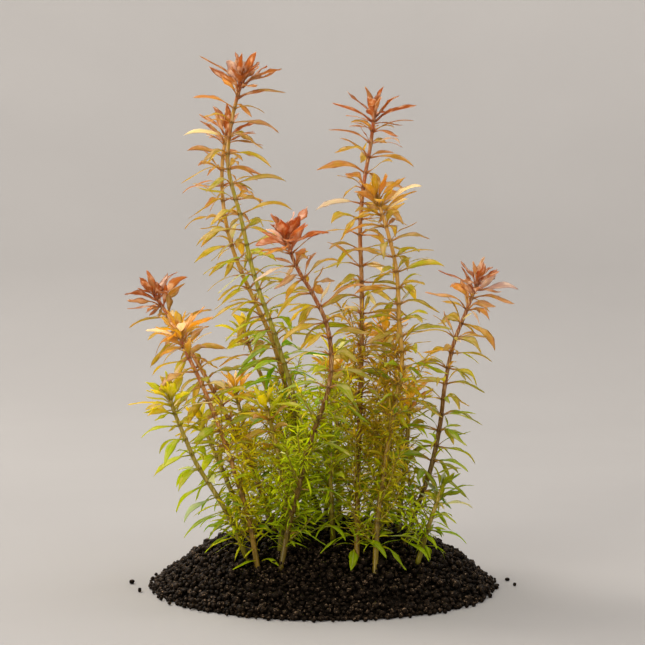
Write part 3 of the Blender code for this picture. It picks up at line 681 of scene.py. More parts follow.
# Leaf blanks: x runs along the leaf, y across it and z up, in half widths. No two have the
# same outline: they differ in stalk, widest place, point, fold, wavy edge and lean.
blankForm = {"count": 9, "fine": 3, "stalk": (0.18, 0.28), "widest": (0.46, 0.6), "fold": (-0.15, 0.5),
             "wave": (0.06, 0.24), "point": (1.25, 1.8), "ragged": (0.03, 0.12), "lean": (-0.22, 0.22)}
bladeThick = {"stalk": 0.26, "blade": 0.13, "edge": 0.03, "stalkTop": 0.16, "stalkEnd": 0.2}
# places along the blade, across its top and across its underside
fullBlank = ([0.0, 0.1, 0.2, 0.31, 0.42, 0.53, 0.64, 0.75, 0.86, 0.94, 1.0],
             [-1, -0.5, 0, 0.5, 1], [-0.5, 0, 0.5])
fineBlank = ([0.0, 0.22, 0.48, 0.75, 1.0], [-1, 0, 1], [0])


def blankShape(index):
    chance = random.Random(f"blank {index}")
    shape = {key: chance.uniform(*value) for key, value in blankForm.items() if isinstance(value, tuple)}
    return {**shape, "phase": chance.uniform(0, math.tau)}


def bladeWidth(share, shape):
    if share < shape["widest"]:
        t = max(0.0, (share - shape["stalk"] * 0.6) / (shape["widest"] - shape["stalk"] * 0.6))
        width = 0.2 + 0.8 * math.sin(t * math.pi / 2) ** 1.5
    else:
        width = max(0.0, 1 - ((share - shape["widest"]) / (1 - shape["widest"])) ** shape["point"])
    ragged = math.sin(share * 31 + shape["phase"]) + 0.7 * math.sin(share * 57 + shape["phase"] * 2)
    return width * (1 + shape["ragged"] * ragged)


# Closed thin blade: rows of top points and points under them, from the stalk to the tip
def makeBlank(name, shape, rows, columns, under, group):
    bm = bmesh.new()
    blade = bm.verts.layers.float_vector.new("blade")
    local = bm.verts.layers.float_vector.new("local")
    rings = []
    for share in rows[:-1]:
        width = bladeWidth(share, shape)
        wave = shape["wave"] * math.sin(share * 15 + shape["phase"]) * min(1.0, share * 3)
        ring = []
        for v in columns + under[::-1]:
            ring.append(bm.verts.new((share, v, len(ring) * 0.01)))
            bottom = len(ring) > len(columns)
            full = bladeThick["stalk" if share < bladeThick["stalkEnd"] else "blade"]
            thick = full * (1 - abs(v)) + bladeThick["edge"] if bottom else 0.0
            lift = shape["fold"] * abs(v) ** 1.3 * width + wave * v - thick
            if not bottom and share < bladeThick["stalkEnd"]:
                lift += bladeThick["stalkTop"] * (1 - abs(v))
            ring[-1][blade] = (share, v, 0.0 if bottom else 1.0)
            ring[-1][local] = (share, v * width * (1 + shape["lean"] * (1 if v > 0 else -1)), lift)
        rings.append(ring)
    tip = bm.verts.new((1, 0, 0))
    tip[blade] = (1, 0, 1)
    tip[local] = (1, 0, 0)
    count = len(rings[0])
    for low, high in zip(rings, rings[1:]):
        for k in range(count):
            after = (k + 1) % count
            bm.faces.new((low[after], low[k], high[k], high[after]))
    for k in range(count):
        bm.faces.new((rings[-1][(k + 1) % count], rings[-1][k], tip))
    bm.faces.new(rings[0])
    for vert in bm.verts:
        vert.co = vert[local]
    bmesh.ops.recalc_face_normals(bm, faces=bm.faces)
    if bm.calc_volume(signed=True) < 0:
        bmesh.ops.reverse_faces(bm, faces=bm.faces)
    group.objects.link(bpy.data.objects.new(name, endMesh(bm, name)))


# What a leaf's bend is worked out from
leafNumbers = ("climb", "droop", "length", "halfWidth", "roll", "twist", "sway", "lilt")


# Puts a blank at every point and bends it along its leaf's arc
def makeBladeTree():
    tree, add, given = newTree("bendBlades", {
        "Blanks": ("NodeSocketCollection", None), "Width": ("NodeSocketFloat", 1.0),
        "Material": ("NodeSocketMaterial", None)})
    climb, droop, length, halfWidth, roll, twist, sway, lilt = (
        add("InputNamedAttribute", {"Name": name}, data_type="FLOAT") for name in leafNumbers)
    flat, root, local = (add("InputNamedAttribute", {"Name": name}, data_type="FLOAT_VECTOR")
                         for name in ("flat", "root", "local"))
    variant = add("InputNamedAttribute", {"Name": "variant"}, data_type="INT")
    blanks = add("CollectionInfo", {"Collection": given["Blanks"], "Separate Children": True,
                                    "Reset Children": True})
    placed = add("InstanceOnPoints", {"Points": given["Geometry"], "Instance": blanks, "Pick Instance": True,
                                      "Instance Index": variant})
    real = add("RealizeInstances", (placed,))
    share, wide, high = add("SeparateXYZ", (local,), output=None)
    bent = add("Math", (droop, share), "MULTIPLY")
    angle = add("Math", (climb, bent), "SUBTRACT")
    turn = add("Math", (twist, share, roll), "MULTIPLY_ADD")
    sinClimb, cosClimb, sinAngle, cosAngle, sinTurn, cosTurn = (
        add("Math", (value,), wave) for value in (climb, angle, turn) for wave in ("SINE", "COSINE"))
    radius = add("Math", (length, droop), "DIVIDE")
    out = add("Math", (sinClimb, sinAngle), "SUBTRACT")
    out = add("Math", (out, radius), "MULTIPLY")
    up = add("Math", (cosAngle, cosClimb), "SUBTRACT")
    up = add("Math", (up, radius), "MULTIPLY")
    rise = add("CombineXYZ", {2: up})
    spine = add("VectorMath", {0: flat, "Scale": out}, "SCALE")
    spine = add("VectorMath", (spine, rise), "ADD")
    spine = add("VectorMath", (spine, root), "ADD")
    # the leaf's own side and face, turned by roll and twist
    back = add("Math", (sinAngle, -1.0), "MULTIPLY")
    face = add("VectorMath", {0: flat, "Scale": back}, "SCALE")
    lift = add("CombineXYZ", {2: cosAngle})
    face = add("VectorMath", (face, lift), "ADD")
    side = add("VectorMath", (flat, (0, 0, 1)), "CROSS_PRODUCT")
    half = add("Math", (halfWidth, given["Width"]), "MULTIPLY")
    across = add("Math", (wide, half), "MULTIPLY")
    above = add("Math", (high, half), "MULTIPLY")
    # sideways: across cos - above sin + sway; along the face: across sin + above cos
    arch = add("Math", (share, math.pi), "MULTIPLY")
    arch = add("Math", (arch,), "SINE")
    arch = add("Math", (arch, sway), "MULTIPLY")
    sideways = add("Math", (across, cosTurn, arch), "MULTIPLY_ADD")
    less = add("Math", (above, sinTurn), "MULTIPLY")
    sideways = add("Math", (sideways, less), "SUBTRACT")
    upwards = add("Math", (across, sinTurn), "MULTIPLY")
    upwards = add("Math", (above, cosTurn, upwards), "MULTIPLY_ADD")
    double = add("Math", (share, math.tau), "MULTIPLY")
    double = add("Math", (double,), "SINE")
    upwards = add("Math", (double, lilt, upwards), "MULTIPLY_ADD")
    side = add("VectorMath", {0: side, "Scale": sideways}, "SCALE")
    face = add("VectorMath", {0: face, "Scale": upwards}, "SCALE")
    place = add("VectorMath", (spine, side), "ADD")
    place = add("VectorMath", (place, face), "ADD")
    moved = add("SetPosition", {"Geometry": real, "Position": place})
    smooth = add("SetShadeSmooth", (moved,))
    done = add("SetMaterial", {"Geometry": smooth, "Material": given["Material"]})
    add("GroupOutput", (done,))
    return tree


def setValues(mesh, name, kind, values):
    layer = mesh.attributes.new(name, kind, "POINT")
    layer.data.foreach_set("vector" if kind == "FLOAT_VECTOR" else "value", values)


# One piece out of a list of leaves
def bladePiece(name, leaves, material, width=1.0):
    mesh = bpy.data.meshes.new(name + "Points")
    mesh.from_pydata([leaf["root"] * mm for leaf in leaves], [], [])
    sizes = {"length", "halfWidth", "sway", "lilt"}
    for key in (*leafNumbers, "tone", "shade"):
        setValues(mesh, key, "FLOAT", [leaf[key] * (mm if key in sizes else 1) for leaf in leaves])
    for key, scale in (("flat", 1), ("root", mm)):
        setValues(mesh, key, "FLOAT_VECTOR", [c * scale for leaf in leaves for c in leaf[key]])
    setValues(mesh, "variant", "INT", [leaf["variant"] for leaf in leaves])
    piece = bake(name, mesh, bladeTree, {"Blanks": leafBlanks, "Width": width, "Material": material})
    for key in (*leafNumbers, "flat", "root", "variant", "local"):
        piece.data.attributes.remove(piece.data.attributes[key])
    return piece


# Sweeps round stems along chains of points
def makeStemTree():
    tree, add, given = newTree("sweepStems", {"Sides": ("NodeSocketInt", 9),
                                              "Material": ("NodeSocketMaterial", None)})
    radius = add("InputNamedAttribute", {"Name": "thick"}, data_type="FLOAT")
    curve = add("MeshToCurve", (given["Geometry"],))
    ring = add("CurvePrimitiveCircle", {"Resolution": given["Sides"], "Radius": 1.0}, mode="RADIUS")
    tube = add("CurveToMesh", {"Curve": curve, "Profile Curve": ring, "Scale": radius, "Fill Caps": True})
    smooth = add("SetShadeSmooth", (tube,))
    real = add("RealizeInstances", {"Geometry": smooth})
    done = add("SetMaterial", {"Geometry": real, "Material": given["Material"]})
    add("GroupOutput", (done,))
    return tree


# One piece out of chains, each a list of (point, radius, tone, ring)
def stemPiece(name, chains, material, sides=9):
    verts, edges, rows = [], [], []
    for chain in chains:
        start = len(verts)
        verts += [point * mm for point, _, _, _ in chain]
        edges += [(start + k, start + k + 1) for k in range(len(chain) - 1)]
        rows += [row[1:] for row in chain]
    mesh = bpy.data.meshes.new(name + "Points")
    mesh.from_pydata(verts, edges, [])
    for column, (key, scale) in enumerate((("thick", mm), ("tone", 1), ("ring", 1))):
        setValues(mesh, key, "FLOAT", [row[column] * scale for row in rows])
    piece = bake(name, mesh, stemTree, {"Sides": sides, "Material": material})
    piece.data.attributes.remove(piece.data.attributes["thick"])
    return piece


leafBlanks = newCollection("leafBlanks")
for index in range(blankForm["count"] + blankForm["fine"]):
    name, shape = f"blank{index:02d}", blankShape(index)
    if index < blankForm["count"]:
        makeBlank(name, shape, *fullBlank, leafBlanks)
    else:
        makeBlank(name, {**shape, "stalk": 0.1}, *fineBlank, leafBlanks)
bladeTree = makeBladeTree()
stemTree = makeStemTree()
leafMaterials = {name: makeLeafMaterial(name) for name in leafFinishes}
stemMaterials = {name: makeStemMaterial(name) for name in stemFinishes}
print("blanks, trees and leaf materials made")


# Gives a leaf its own twist, sway, blank and colour values; a few leaves are drawn brighter and paler as
# painted light
leafDress = {"twist": (-38, 38), "roll": (-32, 32), "sway": (-0.06, 0.06), "lilt": (-0.04, 0.05),
             "shade": (0.86, 1.14), "paintedLit": 1.3, "paintedLitShare": 0.07, "paintedLitFine": 0.01}


def dress(leaf, chance, tone, fine=False):
    leaf["twist"] = math.radians(chance.uniform(*leafDress["twist"]))
    leaf["roll"] += math.radians(chance.uniform(*leafDress["roll"]))
    leaf["sway"] = leaf["length"] * chance.uniform(*leafDress["sway"])
    leaf["lilt"] = leaf["length"] * chance.uniform(*leafDress["lilt"])
    leaf["variant"] = chance.randrange(blankForm["count"])
    if fine:
        leaf["variant"] = blankForm["count"] + chance.randrange(blankForm["fine"])
    leaf["tone"] = tone
    plain = chance.random() > leafDress["paintedLitFine" if fine else "paintedLitShare"]
    leaf["shade"] = chance.uniform(*leafDress["shade"]) if plain else leafDress["paintedLit"]
    return leaf


# A loose leaf at a turn about its stem, its stance and size drawn from ranges
def drawLeaf(chance, frame, turn, ranges, size=1.0, off=0.6):
    point, along, across, behind = frame
    outward = spoke(across, behind, turn)
    rise, droop, length, half, roll = (chance.uniform(*ranges[key])
                                       for key in ("rise", "droop", "length", "half", "roll"))
    return makeLeaf(point + outward * off, outward, along, math.radians(rise), droop, size * length, half,
                    math.radians(roll))


# Young leaves packed inside the crown, and the bud: how many, how far from the end of the stem,
# their length as a share of the shoot's own leaves and their half width
crown = {
    "outer": {"count": 6, "place": (-8.0, -2.0), "rise": (5, 48), "length": (0.6, 0.86), "wide": 1.15},
    "inner": {"count": 5, "place": (-1.6, 0.6), "rise": (56, 76), "length": (0.46, 0.66), "wide": 1.5},
    "bud": {"count": 4, "place": (0.6, 1.4), "rise": (78, 88), "length": (0.24, 0.34), "wide": 0.9},
}
crownLeaf = {"droop": (0.15, 0.4), "half": (0.85, 1.1), "roll": (-25, 25), "turn": 137.5, "off": 0.35,
             "outerTone": (0.3, 0.95), "innerTone": (0.1, 0.8)}
# crown leaves that are much narrower or broader than the rest, by shoot and place of the point
crownWidths = {("tall_left", (-18, 10.5)): 0.4, ("middle_red", (9, 13)): 1.35, ("front_right", None): 0.55}


def crownLeaves(name, shoot, plant):
    chance = random.Random(name + " crown")
    line = plant["line"]
    leaves = [dress(leaf, chance, chance.uniform(*crownLeaf["outerTone"])) for leaf in plant["tip"]]
    for leaf in leaves:
        leaf["halfWidth"] *= crownWidths.get((name, leaf["seen"]), 1.0)
    for part in crown.values():
        turn = chance.uniform(0, 360)
        for k in range(part["count"]):
            turn += crownLeaf["turn"]
            frame = lineFrame(line, line["length"] + chance.uniform(*part["place"]))
            leaf = drawLeaf(chance, frame, math.radians(turn), {**crownLeaf, **part}, shoot["leaf"],
                            crownLeaf["off"])
            leaf["halfWidth"] *= part["wide"]
            leaves.append(dress(leaf, chance, chance.uniform(*crownLeaf["innerTone"])))
    return leaves


# Narrow leaves between the broad ones of the open whorls
wispCounts = {"gold_right": (3, 5), "far_right": (3, 5), "middle_red": (2, 4), "tall_left": (0, 1)}
wisps = {"count": (1, 3), "length": (0.5, 0.88), "half": (0.6, 1.1), "rise": (-5, 58), "droop": (0.3, 1.2),
         "roll": (-40, 40), "below": 6.0, "turn": (-0.5, 0.5), "youngest": 0.6, "grown": 40.0,
         "tone": (-0.22, 0.22)}


# Colour value of a leaf from its place on the stem: green low down, bronze at the top
greening = {"tall_left": 0.3, "tall_left_rear": 0.24, "middle_red": 0.3, "olive_left": 0.2}
ageing = {"top": 0.9, "power": 1.35, "greenBelow": 122, "greenOver": 34}


def leafAge(name, line, mark):
    below = max(0.0, min(1.0, (ageing["greenBelow"] - lineAt(line, mark)[0].z) / ageing["greenOver"]))
    return (mark / line["length"]) ** ageing["power"] * ageing["top"] - greening.get(name, 0.0) * below


def wispLeaves(name, shoot, plant):
    chance = random.Random(name + " wisps")
    line = plant["line"]
    leaves = []
    for mark in plant["nodes"]:
        frame = lineFrame(line, mark)
        if frame[0].z < shoot["freeAbove"] - wisps["below"]:
            continue
        first = chance.uniform(0, math.tau)
        count = chance.randint(*wispCounts.get(name, wisps["count"]))
        for k in range(count):
            turn = first + math.tau * k / count + chance.uniform(*wisps["turn"])
            leaf = drawLeaf(chance, frame, turn, wisps, shoot["leaf"])
            leaf["length"] *= min(1.0, wisps["youngest"] + (line["length"] - mark) / wisps["grown"])
            leaves.append(dress(leaf, chance, leafAge(name, line, mark) + chance.uniform(*wisps["tone"])))
    return leaves


# Small leaves of the thicket: full whorls low on the stems and short side shoots
thicket = {"step": (3.0, 4.4), "count": (5, 8), "above": 12.0, "length": (6.0, 13.5), "half": (0.42, 0.85),
           "rise": (-8, 60), "droop": (0.2, 1.25), "roll": (-40, 40), "turn": (-0.5, 0.5), "first": 7.0,
           "bareTop": 12.0, "tone": (0.02, 0.33), "toneHeight": 170, "clear": 0.5}
twigs = {"first": 9.0, "step": (2.1, 3.6), "reach": (9.0, 21.0), "tilt": (20, 50), "lift": 0.05,
         "radius": 0.28, "pieces": 1.2, "widest": 30, "clear": 3.0, "firstLeaf": 2.2, "leafStep": (1.8, 2.6),
         "length": (3.6, 7.6), "half": (0.36, 0.62), "rise": (15, 45), "droop": (0.3, 0.9),
         "roll": (-35, 35), "turn": (-0.2, 0.2), "off": 0.25, "tone": (0.15, 0.47), "endLength": 2.5,
         "lower": 6}
twigEnd = {**twigs, "rise": (50, 75)}
# how far above the thicket's edge a shoot still has small leaves, where it isn't the usual height
sprayTops = {"tall_left": 0, "tall_left_rear": 0, "olive_left": -4, "left_red": 2, "tall_right": 34,
             "gold_right": 30, "gold_middle": 14, "far_right": 2, "left_low": 6, "short_left": 4,
             "rear_left": 4}
# small leaves: yellow at the left, golden at the right and behind, green in the middle
sprayFinishes = {"left_gold": "sunny", "left_red": "sunny", "left_low": "sunny", "left_rear_low": "sunny",
                 "short_left": "sunny", "tall_right": "bronze", "gold_right": "bronze", "far_right": "bronze",
                 "gold_middle": "bronze", "right_inner": "bronze", "rear_right": "bronze",
                 "olive_left": "bronze"}
# shoots whose small leaves stand further apart, as a share of the usual number
thinning = {"left_red": 0.72, "left_gold": 0.7, "short_left": 0.72, "olive_left": 0.72, "left_low": 0.85,
            "rear_left": 0.78, "left_rear_low": 0.78}


def clearOfSoil(leaf):
    spots = [leafSpine(leaf, share) for share in (0.5, 1.0)]
    return all(spot.z >= moundHeight(spot.x, spot.y) + thicket["clear"] for spot in spots)


# Whorls of small leaves up to a height
def thicketLeaves(chance, name, line, freeAbove, top):
    leaves = []
    mark = thicket["first"]
    while mark < line["length"] - thicket["bareTop"] and lineAt(line, mark)[0].z < top:
        frame = lineFrame(line, mark)
        height = frame[0].z
        count = round(chance.randint(*thicket["count"]) * thinning.get(name, 1.0))
        if height > freeAbove:
            count = count // 2
        first = chance.uniform(0, math.tau)
        for k in range(count):
            turn = first + math.tau * k / count + chance.uniform(*thicket["turn"])
            leaf = drawLeaf(chance, frame, turn, thicket)
            if clearOfSoil(leaf):
                tone = height / thicket["toneHeight"] + chance.uniform(*thicket["tone"])
                leaves.append(dress(leaf, chance, tone, True))
        mark += chance.uniform(*thicket["step"])
    return leaves


# Thin side twigs with their leaves: they lean out, but not past the clump's own sides
def sideTwigs(chance, name, line, top):
    leaves, chains = [], []
    mark = twigs["first"]
    while mark < line["length"] - thicket["bareTop"] and lineAt(line, mark)[0].z < top:
        point, along, across, behind = lineFrame(line, mark)
        outward = spoke(across, behind, chance.uniform(0, math.tau))
        if abs(point.x) > twigs["widest"] and outward.x * point.x > 0:
            outward.x = -outward.x
        tilt = math.radians(chance.uniform(*twigs["tilt"]))
        heading = (outward * math.cos(tilt) + along * math.sin(tilt)).normalized()
        length = chance.uniform(*twigs["reach"])
        chain, spot = [], point
        steps = max(5, round(length / twigs["pieces"]))
        for k in range(steps + 1):
            chain.append((spot.copy(), twigs["radius"] * (1.15 - 0.5 * k / steps), 0.3 + spot.z / 220, 0.0))
            heading = (heading + Vector((0, 0, twigs["lift"]))).normalized()
            spot = spot + heading * (length / steps)
        end = chain[-1][0]
        if end.z > moundHeight(end.x, end.y) + twigs["clear"]:
            chains.append(chain)
            route = chain[::2] + (chain[-1:] if steps % 2 else [])
            leaves += twigLeaves(chance, makeLine([tuple(row[0]) for row in route]))
        mark += chance.uniform(*twigs["step"]) / thinning.get(name, 1.0)
    return leaves, chains


def twigLeaves(chance, twig):
    leaves = []
    mark, index = twigs["firstLeaf"], 0
    while mark < twig["length"]:
        frame = lineFrame(twig, mark)
        last = mark > twig["length"] - twigs["endLength"]
        for k in range(4 if last else 3):
            turn = math.radians(60 * (index % 2) + (90 if last else 120) * k) + chance.uniform(*twigs["turn"])
            leaf = drawLeaf(chance, frame, turn, twigEnd if last else twigs, off=twigs["off"])
            if clearOfSoil(leaf):
                tone = frame[0].z / thicket["toneHeight"] + chance.uniform(*twigs["tone"])
                leaves.append(dress(leaf, chance, tone, True))
        mark += chance.uniform(*twigs["leafStep"])
        index += 1
    return leaves


# The stem from a little under the soil to inside the crown
stemForm = {"step": 0.8, "slim": 0.9, "swell": 0.3, "ringHalf": 0.5, "ring": 0.66, "extraNode": 8.0,
            "underSoil": 5, "uneven": (0.97, 1.03)}


def stemChain(name, plant):
    line = plant["line"]
    marks = sorted(plant["nodes"])
    nodes = marks + [(a + b) / 2 for a, b in zip(marks, marks[1:]) if b - a > stemForm["extraNode"]]
    nodes += [line["length"] - 2.6, line["length"] - 0.7]
    chance = random.Random(name + " stem")
    down = (line["root"] - line["points"][0]).normalized()
    chain = []
    count = round((line["length"] - 0.6) / stemForm["step"])
    for k in range(-stemForm["underSoil"], count + 1):
        mark = k * stemForm["step"]
        point = lineAt(line, mark)[0] if k >= 0 else line["points"][0] + down * -mark
        near = max(math.exp(-((mark - node) / stemForm["ringHalf"]) ** 2) for node in nodes)
        radius = stemRadius(line, mark) * stemForm["slim"] * (1 + stemForm["swell"] * near)
        share = max(0.0, mark / line["length"])
        chain.append((point, radius * chance.uniform(*stemForm["uneven"]), share, near * stemForm["ring"]))
    return chain


# The stump of a lost side shoot, pale where it broke: how far up its stem it stands, which way
# it points, and at each distance from its root its radius and tone
stump = {"shoot": "middle_red", "mark": 61.0, "across": -0.8, "behind": -0.5, "along": 0.55,
         "rows": [(0.0, 0.9, 0.3), (1.2, 1.15, 0.2), (2.4, 0.95, 0.7), (3.1, 0.5, 1.0)]}


def stumpChain(line):
    spot, along, across, behind = lineFrame(line, stump["mark"])
    heading = across * stump["across"] + behind * stump["behind"] + along * stump["along"]
    heading.normalize()
    return [(spot + heading * reach, radius, tone, 0.0) for reach, radius, tone in stump["rows"]]


tipColours = {"green": "greenTip", "gold": "goldTip", "red": "redTip"}
tipFinishes = {"front_right": "mossTip", "front_green": "mossTip", "front_middle": "mossTip",
               "short_left": "greenTip", "olive_left": "greenTip", "tall_left_rear": "redTip",
               "middle_red": "coralTip"}
whorlFinishes = {"left_gold": "olive"}
# how broad the blades are against the solid leaves
usualWidths = {"tip": 1.15, "whorl": 1.02}
tipWidths = {"tall_left": 1.6, "middle_red": 1.6, "front_right": 0.9}
whorlWidths = {"tall_left": 0.88, "tall_left_rear": 0.92, "front_right": 0.75, "left_gold": 1.22,
               "left_red": 1.1}
# leaves deep in the thicket are narrower by this share, over this stretch about its edge
hiddenLeaves = {"narrower": 0.42, "above": 12, "over": 24}
whorlTone = (-0.2, 0.2)
smallLeaves = 0
for name, shoot in shoots.items():
    plant = plants[name]
    line = plant["line"]
    chance = random.Random(name + " blades")
    for leaf in plant["whorls"]:
        dress(leaf, chance, leafAge(name, line, leaf["mark"]) + chance.uniform(*whorlTone))
        depth = shoot["freeAbove"] + hiddenLeaves["above"] - leaf["root"].z
        hidden = max(0.0, min(1.0, depth / hiddenLeaves["over"]))
        leaf["halfWidth"] *= 1 - hiddenLeaves["narrower"] * hidden
    leaves = bladePiece(pieceName(name, "Leaves"), plant["whorls"] + wispLeaves(name, shoot, plant),
                        leafMaterials[whorlFinishes.get(name, shoot["leaves"])],
                        width=whorlWidths.get(name, usualWidths["whorl"]))
    setPiece(leaves, [name + "_stem"])
    stem = stemPiece(pieceName(name, "Stem"), [stemChain(name, plant)], stemMaterials[shoot["stem"]])
    setPiece(stem, None)
    rosette = bladePiece(pieceName(name, "Rosette"), crownLeaves(name, shoot, plant),
                         leafMaterials[tipFinishes.get(name, tipColours[shoot["tip"]])],
                         width=tipWidths.get(name, usualWidths["tip"]))
    setPiece(rosette, [name + "_tip"])
    chance = random.Random(name + " thicket")
    top = shoot["freeAbove"] + sprayTops.get(name, thicket["above"])
    small = thicketLeaves(chance, name, line, shoot["freeAbove"], top)
    more, chains = sideTwigs(chance, name, line, top - twigs["lower"])
    sprays = bladePiece(pieceName(name, "Sprays"), small + more,
                        leafMaterials[sprayFinishes.get(name, "fresh")])
    setPiece(sprays, None)
    if name == stump["shoot"]:
        chains.append(stumpChain(line))
    side = stemPiece(pieceName(name, "Twigs"), chains, stemMaterials["green"], sides=5)
    setPiece(side, None)
    smallLeaves += len(small + more)
print("shoots made, small leaves:", smallLeaves)


# Broad green leaves at the foot that hang over the soil: where each leaves its stem and where
# its point is, its half width and its colour value
footForm = {"droop": (0.5, 0.9), "roll": 0.4}
footLeaves = [
    ((-27.5, -43, 18), (-38, -50, 15.5), 1.3, 0.3), ((-26, -43, 18), (-19, -50, 17), 1.1, 0.3),
    ((8, -40, 27.5), (-2.5, -47, 21.5), 1.4, 0.2), ((11.5, -44, 22.5), (10, -55, 16), 2.0, 0.15),
    ((14.5, -42, 27.5), (24.5, -50, 20), 1.7, 0.1), ((22.5, -44, 24), (32.5, -52, 15.5), 1.6, 0.15),
    ((39, -36, 29.5), (45.5, -40, 22), 1.3, 0.3), ((31, -38, 26.5), (42, -46, 18), 1.7, 0.15),
    ((-38, -38, 27), (-50, -38, 20), 1.3, 0.35), ((-14, -40, 29.5), (-5, -40, 29), 1.4, 0.1),
    ((5, -38, 35.5), (-4.5, -46, 26.5), 0.9, 0.2), ((-40, -38, 33), (-48, -40, 26), 2.0, 0.2),
    ((24, -38, 36), (35, -44, 31), 1.2, 0.2), ((0, -42, 33), (8, -49, 27), 1.3, 0.1),
]


def footBlades():
    chance = random.Random("foot leaves")
    leaves = []
    for root, tip, half, tone in footLeaves:
        reach = Vector(tip) - Vector(root)
        level = math.hypot(reach.x, reach.y)
        droop = chance.uniform(*footForm["droop"])
        leaf = {"root": Vector(root), "flat": Vector((reach.x, reach.y, 0)).normalized(), "droop": droop,
                "climb": math.atan2(reach.z, level) + droop / 2, "halfWidth": half,
                "length": reach.length * (droop / 2) / math.sin(droop / 2), "roll": 0.0}
        dress(leaf, chance, tone)
        leaf["roll"] *= footForm["roll"]
        leaves.append(leaf)
    return leaves


piece = bladePiece("footLeaves", footBlades(), leafMaterials["fresh"])
setPiece(piece, None)
print("foot leaves made")


# The soil: a closed bed just under the surface, and granules scattered over it. Each layer of
# them says what carries it (the bed, or a ring from one radius to another), how far apart they
# lie, their sizes, how high they lie and how much that varies in lumps and one by one.
soil = {"sink": 1.6, "grid": 2.4, "inset": 1.2, "rim": 0.6, "spokes": 96, "footSpokes": 144,
        "footLift": 0.9, "lumpSpan": 9.0, "narrowRight": 0.055, "narrowLeft": 0.026, "ragged": 0.01,
        "forms": 6, "density": 900000.0}
layers = {
    "soilGranules": {"on": "bed", "gap": 1.8, "sizes": (1.35, 2.75), "lift": 1.5, "lumps": 3.0,
                     "uneven": 1.6, "seed": 4},
    "soilFiller": {"on": "bed", "gap": 2.2, "sizes": (0.9, 1.6), "lift": 0.5, "lumps": 3.0, "seed": 11},
    "soilLumps": {"on": "bed", "gap": 7.0, "sizes": (2.9, 4.1), "lift": 1.4, "lumps": 3.0,
                  "uneven": 1.6, "seed": 31},
    "soilFoot": {"on": (72.0, 75.6), "gap": 1.6, "sizes": (1.2, 2.4), "seed": 21},
    "soilLoose": {"on": (75.8, 77.6), "gap": 4.0, "sizes": (1.1, 2.1), "seed": 23},
}


# A granule lies between a ball and a cube, is stretched and has uneven sides
grainForm = {"round": 0.85, "square": 0.15, "stretch": (0.72, 1.15), "dents": (0.84, 1.13)}


def makeGrain(name, chance, cuts=1, size=1.0):
    bm = bmesh.new()
    bmesh.ops.create_cube(bm, size=1.0)
    bmesh.ops.subdivide_edges(bm, edges=bm.edges, cuts=cuts, use_grid_fill=True)
    stretch = [chance.uniform(*grainForm["stretch"]) for _ in range(3)]
    for vert in bm.verts:
        ball = vert.co.normalized() * 0.5
        mixed = ball * grainForm["round"] + vert.co * grainForm["square"]
        vert.co = mixed * chance.uniform(*grainForm["dents"]) * size
        vert.co = Vector(c * s for c, s in zip(vert.co, stretch))
    bmesh.ops.recalc_face_normals(bm, faces=bm.faces)
    return bpy.data.objects.new(name, endMesh(bm, name))


def makeScatterTree():
    tree, add, given = newTree("scatterGrains", {
        "Grains": ("NodeSocketCollection", None), "Gap": ("NodeSocketFloat", 0.002),
        "Smallest": ("NodeSocketFloat", 0.0019), "Largest": ("NodeSocketFloat", 0.0028),
        "Lift": ("NodeSocketFloat", 0.0), "Lumps": ("NodeSocketFloat", 0.0),
        "Uneven": ("NodeSocketFloat", 0.0), "Seed": ("NodeSocketInt", 1),
        "Material": ("NodeSocketMaterial", None)})
    top = add("InputNamedAttribute", {"Name": "upper"}, data_type="FLOAT")
    spread = add("DistributePointsOnFaces", {
        "Mesh": given["Geometry"], "Selection": top, "Distance Min": given["Gap"], "Seed": given["Seed"],
        "Density Max": soil["density"]}, output=None, distribute_method="POISSON")
    spot = add("InputPosition")
    lumps = add("TexNoise", {"Vector": spot, "Scale": 1 / (soil["lumpSpan"] * mm), "Detail": 2.0})
    raised = add("Math", (lumps, 0.5), "SUBTRACT")
    raised = add("Math", (raised, given["Lumps"], given["Lift"]), "MULTIPLY_ADD")
    own = add("RandomValue", {2: -0.5, 3: 0.5, "Seed": 9}, output=1, data_type="FLOAT")
    raised = add("Math", (own, given["Uneven"], raised), "MULTIPLY_ADD")
    along = add("VectorMath", {0: spread["Normal"], "Scale": raised}, "SCALE")
    points = add("SetPosition", {"Geometry": spread["Points"], "Offset": along})
    size = add("RandomValue", {2: given["Smallest"], 3: given["Largest"], "Seed": 5}, output=1,
               data_type="FLOAT")
    # no granule sinks into the floor
    x, y, z = add("SeparateXYZ", (add("InputPosition"),), output=None)
    least = add("Math", (size, 0.5), "MULTIPLY")
    level = add("Math", (z, least), "MAXIMUM")
    level = add("CombineXYZ", (x, y, level))
    points = add("SetPosition", {"Geometry": points, "Position": level})
    tone = add("RandomValue", {"Seed": 7}, output=1, data_type="FLOAT")
    points = add("StoreNamedAttribute", {"Geometry": points, "Name": "grainTone", "Value": tone},
                 data_type="FLOAT", domain="POINT")
    turn = add("RandomValue", {0: (0, 0, 0), 1: (math.tau, math.tau, math.tau), "Seed": 3},
               data_type="FLOAT_VECTOR")
    grains = add("CollectionInfo", {"Collection": given["Grains"], "Separate Children": True,
                                    "Reset Children": True})
    placed = add("InstanceOnPoints", {"Points": points, "Instance": grains, "Pick Instance": True,
                                      "Rotation": turn, "Scale": size})
    real = add("RealizeInstances", {"Geometry": placed})
    # how far each point faces up, which the soil material turns into painted light on the grains' tops
    facing = add("SeparateXYZ", (add("InputNormal"),), output=2)
    real = add("StoreNamedAttribute", {"Geometry": real, "Name": "topSide", "Value": facing},
               data_type="FLOAT", domain="POINT")
    done = add("SetMaterial", {"Geometry": real, "Material": given["Material"]})
    add("GroupOutput", (done,))
    return tree


